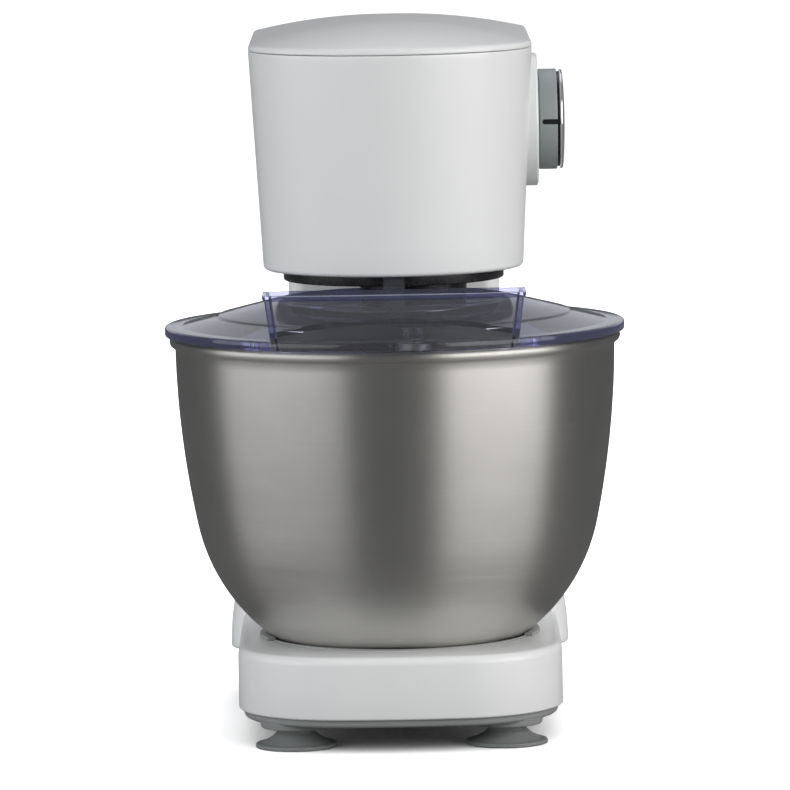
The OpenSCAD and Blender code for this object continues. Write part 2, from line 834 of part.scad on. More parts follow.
module cooling_fan() {
  color("white") place() translate([0, motor_y, 242]) difference() {
    union() {
      cylinder(h = 1.4, r = 28);
      cylinder(h = 7, r = 8);
      for (a = [0 : 30 : 330])
        rotate([0, 0, a]) translate([7, -0.7, 0]) cube([20, 1.4, 6.4]);
    }
    translate([0, 0, -1]) cylinder(h = 12, r = 4);
  }
}

module motor_pulley() {
  color("silver") place() translate([0, motor_y, belt_z - 2]) difference() {
    union() {
      cylinder(h = belt_w + 4, r = small_pulley_r);
      cylinder(h = 1.6, r = small_pulley_r + 2);
      translate([0, 0, belt_w + 2.4]) cylinder(h = 1.6, r = small_pulley_r + 2);
    }
    translate([0, 0, -1]) cylinder(h = 20, r = 4);
  }
}

// ---- Speed knob -----------------------------------------------------------------------------

module speed_knob() {
  color("gray") place() translate([0, knob_y, knob_z]) difference() {
    bar_x(knob_r, bezel_x + 0.4, 84.8);
    difference() {
      bar_x(knob_r - 3, bezel_x, 81.5);
      bar_x(7, bezel_x - 1, 90);
    }
    bar_x(4, 70, 90);
    translate([77, -knob_r - 1, -1.35]) cube([10, 2.2, 2.7]);
  }
}

module knob_pointer() {
  color("black") place() translate([77.05, knob_y - knob_r + 0.2, knob_z - 1.3])
    cube([7.7, 0.95, 2.6]);
}

module knob_spacer() {
  color("black") place() translate([0, knob_y, knob_z]) bar_x(23.4, 84.8, 85.8);
}

module knob_cap() {
  cap_r = knob_r - 0.3;
  color("silver") place() translate([85.8, knob_y, knob_z]) rotate([0, 90, 0]) rotate_extrude()
    polygon([[0, 0], [cap_r, 0], [cap_r, 1.6], [cap_r - 1.4, 2.2], [12, 2.8], [0, 3]]);
}

module switch_spindle() {
  color("silver") place() translate([0, knob_y, knob_z]) bar_x(4, 56, 84.8);
}

// ---- Splash guard ---------------------------------------------------------------------------

// Funnel of the feed chute: slanted sides and a slightly bowed front
module chute_form(inset, z0, z1, back_y) {
  foot_hw_c = 61.5 - inset;
  lean = 6 / 26;
  front_r = 340;
  base_z = 205;
  intersection() {
    along(-130, back_y) polygon([
      [-foot_hw_c + (base_z - z0) * lean, z0], [foot_hw_c - (base_z - z0) * lean, z0],
      [foot_hw_c + (z1 - base_z) * lean, z1], [-foot_hw_c - (z1 - base_z) * lean, z1]]);
    translate([0, front_r - 105, z0])
      cylinder(h = z1 - z0, r1 = front_r - inset - (base_z - z0) * lean,
               r2 = front_r - inset + (z1 - base_z) * lean, $fn = 180);
  }
}

module splash_guard() {
  hook_in = 59.3;
  hook_out = 61.3;
  hook_top = 235.4;
  color("lightsteelblue", 0.5) place() difference() {
    union() {
      rotate_extrude($fn = 128)
        polygon([[guard_r, guard_z], [guard_r, 208], [108, 208], [90, 213], [75, 217],
                 [60.5, 220], [56.4, 220.6], [56.4, 217.8], [75, 214.4], [90, 210.4],
                 [104.6, 206.2], [104.6, 199.5], [107, 199.5], [107, guard_z]]);
      for (a = guard_hooks) {
        translate([0, 0, 218.6]) arc_block(hook_in, hook_out, hook_top - 218.6, a - 5, a + 5);
        translate([0, 0, hook_top - 1.6])
          arc_block(56.6, hook_out, 1.6, a - 5, a + 5);
      }
      chute_form(0, 206, 231, -77);
    }
    chute_form(2.5, 190, 240, -79.5);
  }
}

// ---- Bowl -----------------------------------------------------------------------------------

module bowl() {
  bead_r = 2.8;
  color("silver") place() rotate_extrude($fn = 128) {
    difference() {
      bowl_section(0);
      bowl_section(sheet);
    }
    translate([bowl_r + 0.1, rim_z]) circle(r = bead_r, $fn = 48);
  }
}

module bowl_foot() {
  color("silver") place() {
    translate([0, 0, 37.4]) ring(48, 46, bowl_floor_z - 37.4);
    for (a = [90, 210, 330])
      translate([0, 0, 38]) arc_block(47, 53, 2, a - 14, a + 14);
  }
}

base_platform();
column_housing();
column_back_cover();
back_cover_screws();
base_tray();
tray_screws();
suction_cups();
cup_screws();
bowl_socket();
socket_screws();
column_screws();
hinge_bracket();
bracket_screws();
hinge_pin();
pin_clips();
control_board();
board_pillars();
cable_gland();
release_lever();
release_spring();
head_housing();
head_top_cover();
top_cover_screws();
guard_collar();
head_chassis();
chassis_screws();
hinge_bushes();
ring_gear();
main_bearings();
motor_frame();
motor_stator();
motor_windings();
drive_belt();
knob_bezel();
switch_body();
main_shaft();
large_pulley();
planet_carrier();
tool_bearings();
tool_shaft();
planet_pinion();
cross_pin();
flat_beater();
motor_armature();
cooling_fan();
motor_pulley();
speed_knob();
knob_pointer();
knob_spacer();
knob_cap();
switch_spindle();
splash_guard();
bowl();
bowl_foot();
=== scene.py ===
"""Looks of a tilt-head stand mixer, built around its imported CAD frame.

Shapes are worked out in millimetres from the main axis (the bowl's axis), as the CAD is, and
placed in the frame's metres by at(). Each visible shell is lofted or turned here with its real
edge rounding; inner parts keep their CAD mesh with bevelled edges and a material.
"""
import json
import math

import bmesh
import bpy
from mathutils import Matrix, Vector, geometry


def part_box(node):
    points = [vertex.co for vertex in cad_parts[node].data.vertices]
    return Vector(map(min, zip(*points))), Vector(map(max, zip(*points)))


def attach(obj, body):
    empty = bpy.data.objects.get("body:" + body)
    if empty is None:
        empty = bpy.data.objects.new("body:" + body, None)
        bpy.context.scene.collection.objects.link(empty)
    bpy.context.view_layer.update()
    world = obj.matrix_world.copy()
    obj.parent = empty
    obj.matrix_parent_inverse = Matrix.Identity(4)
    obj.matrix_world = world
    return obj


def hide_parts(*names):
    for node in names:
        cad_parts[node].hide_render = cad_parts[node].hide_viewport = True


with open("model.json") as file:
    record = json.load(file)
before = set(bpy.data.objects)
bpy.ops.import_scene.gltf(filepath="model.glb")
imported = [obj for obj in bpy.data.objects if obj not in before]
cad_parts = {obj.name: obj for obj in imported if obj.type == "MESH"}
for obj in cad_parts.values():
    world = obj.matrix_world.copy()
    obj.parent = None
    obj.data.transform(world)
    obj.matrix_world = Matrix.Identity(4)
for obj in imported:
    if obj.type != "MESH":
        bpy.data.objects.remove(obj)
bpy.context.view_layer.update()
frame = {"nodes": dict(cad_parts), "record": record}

MM = 0.001
scene = bpy.context.scene


# ---- Reading the frame -----------------------------------------------------------------------

def corners(node):
    """Lowest and highest corner of a CAD node, in mm, in the frame's own axes."""
    low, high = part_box(node)
    return Vector(low) / MM, Vector(high) / MM


bowl_low, bowl_high = corners("bowl")
AXIS_Y = (bowl_low.y + bowl_high.y) / 2          # main axis, in the frame


def span(node):
    """Corners of a CAD node in mm, measured from the main axis."""
    low, high = corners(node)
    shift = Vector((0, AXIS_Y, 0))
    return low - shift, high - shift


def at(x, y, z):
    """A point given in mm from the main axis, in the frame's metres."""
    return Vector((x, y + AXIS_Y, z)) * MM


head_low, head_high = span("head_housing")
cover_high = span("head_top_cover")[1]
platform_low, platform_high = span("base_platform")
column_low, column_high = span("column_housing")
tray_low = span("base_tray")[0]
guard_high = span("splash_guard")[1]
cups_low, cups_high = span("suction_cups")
knob_low, knob_high = span("speed_knob")
cap_high = span("knob_cap")[1]
bezel_low, bezel_high = span("knob_bezel")
carrier_low = span("planet_carrier")[0]
shaft_low, shaft_high = span("tool_shaft")
collar_low = span("guard_collar")[0]
pin_low, pin_high = span("hinge_pin")

HEAD_HW = head_high.x                            # half width at the seam
SEAM_Z = head_high.z
HEAD_BOTTOM_Z = 236.0                            # underside of the head's floor
HEAD_REAR = head_high.y
DRAFT = 0.054                                    # slope of the head's sides
REAR_R = 45.0                                    # plan radius of the head's rear corners
SHELL = 3.0                                      # wall of the head
HINGE_Y = (pin_low.y + pin_high.y) / 2
HINGE_Z = (pin_low.z + pin_high.z) / 2
NECK_R = HINGE_Z - head_low.z
NECK_HW = 55.5                                   # half width of the neck
PLATFORM_Z = platform_high.z
RECESS_R = 68.6                                  # round recess that takes the bowl's socket
RECESS_Z = 34.0
KNOB_Y = (knob_low.y + knob_high.y) / 2
KNOB_Z = (knob_low.z + knob_high.z) / 2
KNOB_R = (knob_high.z - knob_low.z) / 2
BEZEL_R = (bezel_high.z - bezel_low.z) / 2
TOOL_X = (shaft_low.x + shaft_high.x) / 2
TOOL_Y = (shaft_low.y + shaft_high.y) / 2
GUARD_R = guard_high.x
FLANGE_Z = 203.0                                 # underside of the guard's flange
CHUTE_Z = 231.0                                  # rim of the feed chute
HOOK_ANGLES = (90, 270)                          # the guard's hooks and the collar's lugs
HUB_R = 27.25                                    # round hub under the carrier's disc
COLLAR_IN_R = 53.5
COLLAR_OUT_R = 56.0
CUP_X = 53
CUP_SPOTS = [(x, y) for x in (-CUP_X, CUP_X) for y in (-63, 150)]


# ---- Mesh tools ------------------------------------------------------------------------------

def solid(name, verts, faces, sharp=33):
    """A mesh object from points in mm and faces; edges over the sharp angle stay crisp."""
    mesh = bpy.data.meshes.new(name)
    mesh.from_pydata([at(*v) for v in verts], [], faces)
    work = bmesh.new()
    work.from_mesh(mesh)
    bmesh.ops.remove_doubles(work, verts=work.verts, dist=1e-7)
    bmesh.ops.dissolve_degenerate(work, edges=work.edges, dist=1e-7)
    bmesh.ops.recalc_face_normals(work, faces=work.faces)
    work.to_mesh(mesh)
    work.free()
    smooth(mesh, sharp)
    obj = bpy.data.objects.new(name, mesh)
    scene.collection.objects.link(obj)
    return obj


def smooth(mesh, sharp):
    for polygon in mesh.polygons:
        polygon.use_smooth = True
    mesh.set_sharp_from_angle(angle=math.radians(sharp))


def loft(rings, wrap=False, cap_start=False, cap_end=False):
    """Points and faces of a skin over rings that all have the same number of points."""
    n = len(rings[0])
    verts = [p for ring in rings for p in ring]
    faces = []
    rows = len(rings)
    for i in range(rows if wrap else rows - 1):
        a = i * n
        b = ((i + 1) % rows) * n
        for j in range(n):
            k = (j + 1) % n
            faces.append((a + j, a + k, b + k, b + j))
    if cap_start:
        faces.append(tuple(range(n)))
    if cap_end:
        faces.append(tuple((rows - 1) * n + j for j in range(n)))
    return verts, faces


def join(*skins):
    """Several (points, faces) pairs as one."""
    verts, faces = [], []
    for points, cells in skins:
        start = len(verts)
        verts += list(points)
        faces += [tuple(start + i for i in cell) for cell in cells]
    return verts, faces


def rounded(points, steps=5):
    """A closed outline of (x, y, radius) corners as points, each corner turned into an arc."""
    out = []
    n = len(points)
    for i in range(n):
        x, y, radius = points[i]
        here = Vector((x, y))
        back = Vector(points[i - 1][:2]) - here
        ahead = Vector(points[(i + 1) % n][:2]) - here
        if radius <= 0 or back.length < 1e-6 or ahead.length < 1e-6:
            out.append((x, y))
            continue
        reach = min(back.length, ahead.length) * 0.49
        back.normalize()
        ahead.normalize()
        half = math.acos(max(-1, min(1, back.dot(ahead)))) / 2
        if half > math.radians(89):
            out.append((x, y))
            continue
        cut = min(radius / math.tan(half), reach)
        radius = cut * math.tan(half)
        centre = here + (back + ahead).normalized() * (radius / math.sin(half))
        start = here + back * cut - centre
        turn = (here + ahead * cut - centre).angle_signed(start)
        for k in range(steps + 1):
            angle = turn * k / steps
            c, s = math.cos(angle), math.sin(angle)
            out.append((centre.x + start.x * c - start.y * s,
                        centre.y + start.x * s + start.y * c))
    return out


def turned(profile, steps=128, centre=(0, 0, 0), axis="Z", start=0.0, sweep=360.0):
    """Points and faces of a closed (radius, height) outline turned about an axis."""
    full = sweep >= 360
    count = steps if full else steps + 1
    rings = []
    for i in range(count):
        angle = math.radians(start + sweep * i / steps)
        c, s = math.cos(angle), math.sin(angle)
        ring = []
        for radius, height in profile:
            if axis == "Z":
                ring.append((centre[0] + radius * c, centre[1] + radius * s, centre[2] + height))
            else:
                ring.append((centre[0] + height, centre[1] + radius * c, centre[2] + radius * s))
        rings.append(ring)
    return loft(rings, wrap=full, cap_start=not full, cap_end=not full)


def sheet_with_holes(outer, holes, z):
    """A flat face at height z inside the outer loop, left open at the holes."""
    loops = [[Vector((x, y, 0)) for x, y in loop] for loop in [outer] + holes]
    triangles = geometry.tessellate_polygon(loops)
    points = [(p.x, p.y, z) for loop in loops for p in loop]
    return points, [tuple(t) for t in triangles]


def band(loop_a, z_a, loop_b, z_b):
    """The strip between two loops with equally many points."""
    return loft([[(x, y, z_a) for x, y in loop_a], [(x, y, z_b) for x, y in loop_b]])


def circle(radius, n=96, centre=(0, 0)):
    return [(centre[0] + radius * math.cos(2 * math.pi * i / n),
             centre[1] + radius * math.sin(2 * math.pi * i / n)) for i in range(n)]


def carve(target, tool, operation="DIFFERENCE", sharp=33):
    """Cuts or adds one closed mesh to another, and removes the tool."""
    modifier = target.modifiers.new("carve", "BOOLEAN")
    modifier.operation = operation
    modifier.object = tool
    modifier.solver = "EXACT"
    depsgraph = bpy.context.evaluated_depsgraph_get()
    mesh = bpy.data.meshes.new_from_object(target.evaluated_get(depsgraph))
    target.modifiers.clear()
    target.data = mesh
    bpy.data.objects.remove(tool)
    smooth(mesh, sharp)


def arc(centre, radius, a0, a1, n):
    """n + 1 points on an arc, angles in degrees."""
    out = []
    for i in range(n + 1):
        angle = math.radians(a0 + (a1 - a0) * i / n)
        out.append((centre[0] + radius * math.cos(angle), centre[1] + radius * math.sin(angle)))
    return out


def line(p, q, n):
    """n points strictly between p and q."""
    return [(p[0] + (q[0] - p[0]) * i / (n + 1), p[1] + (q[1] - p[1]) * i / (n + 1))
            for i in range(1, n + 1)]


def edge_rows(radius, n=5):
    """(inset, drop) pairs that round an outer edge, from the wall to the face."""
    rows = []
    for i in range(n + 1):
        angle = math.radians(90 * i / n)
        rows.append((radius * (1 - math.cos(angle)), radius * (1 - math.sin(angle))))
    return rows


# ---- Materials -------------------------------------------------------------------------------

def ramp(nodes, links, source, low, high):
    """Turns a 0 to 1 value into colours between low and high."""
    node = nodes.new("ShaderNodeValToRGB")
    node.color_ramp.elements[0].color = (*low, 1)
    node.color_ramp.elements[1].color = (*high, 1)
    links.new(source, node.inputs["Fac"])
    return node.outputs["Color"]


def spread(nodes, links, source, low, high):
    """Maps a noise value to the range low to high."""
    node = nodes.new("ShaderNodeMapRange")
    node.inputs["From Min"].default_value = 0.3
    node.inputs["From Max"].default_value = 0.7
    node.inputs["To Min"].default_value = low
    node.inputs["To Max"].default_value = high
    links.new(source, node.inputs["Value"])
    return node.outputs["Result"]


def noise(nodes, links, vector, scale, detail=4.0):
    node = nodes.new("ShaderNodeTexNoise")
    node.inputs["Scale"].default_value = scale
    node.inputs["Detail"].default_value = detail
    links.new(vector, node.inputs["Vector"])
    return node.outputs["Fac"]


def stretched(nodes, links, vector, scale):
    node = nodes.new("ShaderNodeMapping")
    node.inputs["Scale"].default_value = scale
    links.new(vector, node.inputs["Vector"])
    return node.outputs["Vector"]


def surface(name, low, high, rough, metallic=0.0, patch=40.0, grain=1500.0, relief=0.03,
            stretch=None, coat=0.0, anisotropy=0.0, specular=0.5):
    """A procedural surface: colour drifts between two shades, with fine grain in gloss and
    relief."""
    material = bpy.data.materials.new(name)
    material.use_nodes = True
    nodes, links = material.node_tree.nodes, material.node_tree.links
    shader = nodes["Principled BSDF"]
    place = nodes.new("ShaderNodeTexCoord").outputs["Object"]
    fine_place = stretched(nodes, links, place, stretch) if stretch else place
    broad = noise(nodes, links, place, patch)
    fine = noise(nodes, links, fine_place, grain)
    tone = nodes.new("ShaderNodeMath")
    tone.operation = "MULTIPLY_ADD"
    tone.inputs[1].default_value = 0.55 if stretch else 0.2
    links.new(fine, tone.inputs[0])
    scaled = nodes.new("ShaderNodeMath")
    scaled.operation = "MULTIPLY"
    scaled.inputs[1].default_value = 0.45 if stretch else 0.8
    links.new(broad, scaled.inputs[0])
    links.new(scaled.outputs[0], tone.inputs[2])
    links.new(ramp(nodes, links, tone.outputs[0], low, high), shader.inputs["Base Color"])
    links.new(spread(nodes, links, fine, rough[0], rough[1]), shader.inputs["Roughness"])
    bump = nodes.new("ShaderNodeBump")
    bump.inputs["Strength"].default_value = relief
    bump.inputs["Distance"].default_value = 0.0002
    links.new(fine, bump.inputs["Height"])
    links.new(bump.outputs["Normal"], shader.inputs["Normal"])
    shader.inputs["Metallic"].default_value = metallic
    shader.inputs["Specular IOR Level"].default_value = specular
    shader.inputs["Coat Weight"].default_value = coat
    shader.inputs["Coat Roughness"].default_value = 0.12
    if anisotropy:
        shader.inputs["Anisotropic"].default_value = anisotropy
        shader.inputs["Anisotropic Rotation"].default_value = 0.25
        tangent = nodes.new("ShaderNodeTangent")
        tangent.direction_type = "RADIAL"
        tangent.axis = "Z"
        links.new(tangent.outputs["Tangent"], shader.inputs["Tangent"])
    return material


def clear_plastic(name, body, face_tint, edge_tint, share):
    """Clear plastic sheet: tinted more where it is seen edge on, slightly milky, with a clean
    sheen that grows as the view grazes it."""
    material = bpy.data.materials.new(name)
    material.use_nodes = True
    nodes, links = material.node_tree.nodes, material.node_tree.links
    milk = nodes["Principled BSDF"]
    milk.inputs["Roughness"].default_value = 0.3
    milk.inputs["Specular IOR Level"].default_value = 0.2
    place = nodes.new("ShaderNodeTexCoord").outputs["Object"]
    haze = noise(nodes, links, place, 18.0, 2.0)
    links.new(ramp(nodes, links, haze, [c * 0.9 for c in body], body), milk.inputs["Base Color"])
    weight = nodes.new("ShaderNodeLayerWeight")
    weight.inputs["Blend"].default_value = 0.3
    clear = nodes.new("ShaderNodeBsdfTransparent")
    links.new(ramp(nodes, links, weight.outputs["Facing"], face_tint, edge_tint),
              clear.inputs["Color"])
    part = nodes.new("ShaderNodeMapRange")
    part.inputs["To Min"].default_value = share[0]
    part.inputs["To Max"].default_value = share[1]
    links.new(weight.outputs["Fresnel"], part.inputs["Value"])
    sheet = nodes.new("ShaderNodeMixShader")
    links.new(part.outputs["Result"], sheet.inputs["Fac"])
    links.new(clear.outputs["BSDF"], sheet.inputs[1])
    links.new(milk.outputs["BSDF"], sheet.inputs[2])
    sheen = nodes.new("ShaderNodeBsdfGlossy")
    sheen.inputs["Roughness"].default_value = 0.07
    sheen.inputs["Color"].default_value = (0.92, 0.93, 1.0, 1)
    fresnel = nodes.new("ShaderNodeFresnel")
    fresnel.inputs["IOR"].default_value = 1.5
    mix = nodes.new("ShaderNodeMixShader")
    links.new(fresnel.outputs["Fac"], mix.inputs["Fac"])
    links.new(sheet.outputs["Shader"], mix.inputs[1])
    links.new(sheen.outputs["BSDF"], mix.inputs[2])
    links.new(mix.outputs["Shader"], nodes["Material Output"].inputs["Surface"])
    return material


MATERIALS = {
    "white_plastic": surface("white_satin_plastic", (0.76, 0.77, 0.775), (0.80, 0.81, 0.815),
                             (0.28, 0.36), relief=0.02, coat=0.15),
    "grey_plastic": surface("grey_moulded_plastic", (0.26, 0.27, 0.27), (0.31, 0.32, 0.32),
                            (0.38, 0.5), relief=0.06),
    "black_plastic": surface("black_gloss_plastic", (0.010, 0.010, 0.012), (0.018, 0.018, 0.02),
                             (0.2, 0.32), relief=0.03),
    "knob_grey": surface("knob_grey_plastic", (0.28, 0.31, 0.315), (0.33, 0.36, 0.365),
                         (0.36, 0.46), relief=0.05),
    "chrome": surface("bright_chrome", (0.70, 0.70, 0.73), (0.80, 0.80, 0.83),
                      (0.10, 0.16), metallic=0.8, relief=0.01),
    "bowl_steel": surface("brushed_bowl_steel", (0.56, 0.55, 0.53), (0.74, 0.73, 0.705),
                          (0.39, 0.47), metallic=1.0, grain=1.0, relief=0.05,
                          stretch=(14, 14, 3200), anisotropy=0.86),
    "steel": surface("bright_steel", (0.42, 0.42, 0.43), (0.55, 0.55, 0.56), (0.22, 0.34),
                     metallic=1.0, relief=0.05),
    "cast_metal": surface("cast_aluminium", (0.50, 0.50, 0.51), (0.62, 0.62, 0.63), (0.34, 0.5),
                          metallic=1.0, grain=900, relief=0.15),
    "bronze": surface("bearing_bronze", (0.36, 0.22, 0.09), (0.48, 0.31, 0.14), (0.3, 0.42),
                      metallic=1.0, relief=0.06),
    "copper_wire": surface("copper_winding", (0.40, 0.15, 0.05), (0.58, 0.26, 0.10), (0.3, 0.45),
                           metallic=1.0, grain=1.0, relief=0.5, stretch=(2400, 2400, 200)),
    "clear_smoke": clear_plastic("smoky_clear_plastic", (0.66, 0.67, 0.74), (0.985, 0.986, 0.99),
                                 (0.90, 0.905, 0.95), (0.03, 0.22)),
    "foot_rubber": surface("soft_grey_rubber", (0.18, 0.19, 0.19), (0.225, 0.235, 0.235),
                           (0.36, 0.5), relief=0.06),
    "belt_rubber": surface("belt_rubber", (0.012, 0.012, 0.012), (0.03, 0.03, 0.03), (0.6, 0.8),
                           relief=0.3),
    "board_green": surface("circuit_board", (0.02, 0.10, 0.04), (0.04, 0.17, 0.07), (0.3, 0.45),
                           grain=500, relief=0.1),
}

# Darker, deeper-tinted copy of the clear plastic for the flange's edge, the chute's rim lip and
# the chute's front corners: painted shade that stands in for the dark look of the clear sheet
# seen edge on from the front.
SMOKE_EDGE_PAINTED_SHADE = clear_plastic("smoky_clear_plastic_painted_edge_shade", (0.20, 0.20, 0.38), (0.50, 0.51, 0.72),
                           (0.30, 0.31, 0.55), (0.25, 0.85))

NODE_SLOT = {part["node"]: part["material_slot"] for part in frame["record"]["subparts"]}
NODE_BODY = {node: body for body, nodes in frame["record"]["behaviour"]["bodies"].items()
             for node in nodes}


def fit(obj, node, *more):
    """The piece stands for the named CAD nodes: it takes their body, slot and material."""
    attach(obj, NODE_BODY[node])
    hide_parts(node, *more)
    obj.data.materials.clear()
    obj.data.materials.append(MATERIALS[NODE_SLOT[node]])
    return obj


def trim(obj, node, slot):
    """An extra piece that goes with a CAD node's body but replaces nothing."""
    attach(obj, NODE_BODY[node])
    obj.data.materials.clear()
    obj.data.materials.append(MATERIALS[slot])
    return obj


# ---- Head ------------------------------------------------------------------------------------

CROWN_EDGE_Z = SEAM_Z + 3.0
CROWN_RISE = cover_high.z - CROWN_EDGE_Z
SPINE_END = HEAD_REAR - HEAD_HW
CROWN_PEAK_Y = 25.0
CROWN_LONG_R = 1500.0                            # radius of the crown's ridge, seen from the side


def head_hw(z):
    return HEAD_HW - max(0.0, SEAM_Z - z) * DRAFT


def head_loop(z, inset):
    """Plan of the head at height z: round nose, flat flanks, rounded rear corners."""
    r = head_hw(z) - inset
    corner_x = HEAD_HW - REAR_R
    corner_y = HEAD_REAR - REAR_R
    c = r - corner_x
    loop = arc((0, 0), r, 180, 360, 56)
    loop += line((r, 0), (r, corner_y), 14)
    loop += arc((corner_x, corner_y), c, 0, 90, 16)
    loop += line((corner_x, corner_y + c), (-corner_x, corner_y + c), 6)
    loop += arc((-corner_x, corner_y), c, 90, 180, 16)
    loop += line((-r, corner_y), (-r, 0), 14)
    return loop


def ridge_z(y):
    """Height of the crown's ridge above its edge, along the head."""
    return CROWN_RISE - (y - CROWN_PEAK_Y) ** 2 / (2 * CROWN_LONG_R)


def crown_ring(share, edge_r):
    """Ring of the crown at that share of the way from the ridge out to the edge."""
    ring = []
    for x, y in head_loop(SEAM_Z, 0):
        spine_y = min(max(y, 0.0), SPINE_END)
        px = x * share
        py = spine_y + (y - spine_y) * share
        depth = (1 - share) * HEAD_HW
        z = CROWN_EDGE_Z + ridge_z(spine_y) * (1 - share * share)
        if depth < edge_r:
            z -= edge_r * (1 - math.sqrt(1 - (1 - depth / edge_r) ** 2))
        ring.append((px, py, z))
    return ring


def head_ring(z, inset):
    return [(x, y, z) for x, y in head_loop(z, inset)]


def top_cover():
    gap = 0.28
    bottom = SEAM_Z + gap
    edge_r = 1.6
    rings = [[(x * 0.02, min(max(y, 0.0), SPINE_END), bottom + 2)
              for x, y in head_loop(SEAM_Z, 0)]]
    rings.append([(x, y, bottom + 2) for x, y in head_loop(SEAM_Z, SHELL + 1)])
    rings.append([(x, y, bottom) for x, y in head_loop(SEAM_Z, SHELL)])
    for inset, drop in reversed(edge_rows(0.5, 3)):
        rings.append([(x, y, bottom + drop) for x, y in head_loop(SEAM_Z, inset)])
    depths = [0, 0.06, 0.2, 0.45, 0.8, 1.2, 1.6, 2.6, 4.5, 8, 13, 19, 26, 34, 43, 53, 63, 69, 72]
    for depth in depths:
        rings.append(crown_ring(max(0.0, 1 - depth / HEAD_HW), edge_r))
    verts, faces = loft(rings)
    return fit(solid("head_top_cover_shell", verts, faces), "head_top_cover")


def neck_loop(inset, n=26):
    """Plan of the neck, with points along its flanks spaced to follow its round foot."""
    corner = 9.0 - inset
    hw = NECK_HW - inset
    reach = NECK_R - inset
    y0 = HINGE_Y - reach
    y1 = HINGE_Y + reach
    flank = []
    for i in range(1, n):
        flank.append(HINGE_Y - (reach - corner) * math.cos(math.pi * i / n))
    loop = arc((-hw + corner, y0 + corner), corner, 180, 270, 8)
    loop += line((-hw + corner, y0), (hw - corner, y0), 10)
    loop += arc((hw - corner, y0 + corner), corner, 270, 360, 8)
    loop += [(hw, y) for y in flank]
    loop += arc((hw - corner, y1 - corner), corner, 0, 90, 8)
    loop += line((hw - corner, y1), (-hw + corner, y1), 10)
    loop += arc((-hw + corner, y1 - corner), corner, 90, 180, 8)
    loop += [(-hw, y) for y in reversed(flank)]
    return loop


def neck_foot(y, inset):
    reach = NECK_R - inset
    return HINGE_Z - math.sqrt(max(0.0, reach * reach - (y - HINGE_Y) ** 2))


def neck_skin():
    """Walls of the neck: upright, with a round foot that turns in the column's cradle."""
    outer = neck_loop(0)
    inner = neck_loop(SHELL)
    rings = []
    for share in (0, 0.25, 0.5, 0.75, 0.96):
        rings.append([(x, y, HEAD_BOTTOM_Z + 1 + (neck_foot(y, 0) - HEAD_BOTTOM_Z - 1) * share)
                      for x, y in outer])
    mid = neck_loop(0.5)
    rings.append([(x, y, neck_foot(y, 0.1)) for x, y in mid])
    mid = neck_loop(SHELL - 0.5)
    rings.append([(x, y, neck_foot(y, 0.4)) for x, y in mid])
    for share in (0.96, 0.5, 0):
        rings.append([(x, y, HEAD_BOTTOM_Z + 1 + (neck_foot(y, 1) - HEAD_BOTTOM_Z - 1) * share)
                      for x, y in inner])
    return loft(rings, wrap=True)


def head_shell():
    top = SEAM_Z
    floor = HEAD_BOTTOM_Z + SHELL
    foot_r = 2.2
    rings = [head_ring(floor, SHELL), head_ring(top, SHELL)]
    for inset, drop in reversed(edge_rows(0.5, 3)):
        rings.append(head_ring(top - drop, inset))
    for z in (344, 330, 310, 290, 270, 250):
        rings.append(head_ring(z, 0))
    for inset, drop in edge_rows(foot_r, 6):
        rings.append(head_ring(HEAD_BOTTOM_Z + drop, inset))
    hole = circle(COLLAR_IN_R)
    neck = neck_loop(SHELL)
    walls = loft(rings)
    under = sheet_with_holes(head_loop(HEAD_BOTTOM_Z, foot_r), [hole, neck], HEAD_BOTTOM_Z)
    inside = sheet_with_holes(head_loop(floor, SHELL), [hole, neck], floor)
    verts, faces = join(walls, under, inside, band(hole, HEAD_BOTTOM_Z, hole, floor),
                        band(neck, HEAD_BOTTOM_Z, neck, floor))
    fit(solid("head_shell", verts, faces), "head_housing")
    verts, faces = neck_skin()
    return trim(solid("head_neck", verts, faces), "head_housing", "white_plastic")


def collar():
    low, high = collar_low.z, HEAD_BOTTOM_Z
    ring = rounded([(COLLAR_IN_R, low, 0.4), (COLLAR_OUT_R, low, 0.9), (COLLAR_OUT_R, high, 0),
                    (COLLAR_IN_R, high, 0)])
    skins = [turned(ring)]
    lug = rounded([(55, 231.8, 0), (58.6, 231.8, 0.4), (58.6, 233.4, 0.4), (55, 233.4, 0)], 3)
    for angle in HOOK_ANGLES:
        skins.append(turned(lug, steps=12, start=angle - 8, sweep=16))
    return fit(solid("guard_collar_ring", *join(*skins)), "guard_collar")


# ---- Knob ------------------------------------------------------------------------------------

def knob_turned(name, outline, node):
    centre = (0, KNOB_Y, KNOB_Z)
    return fit(solid(name, *turned(outline, centre=centre, axis="X")), node)


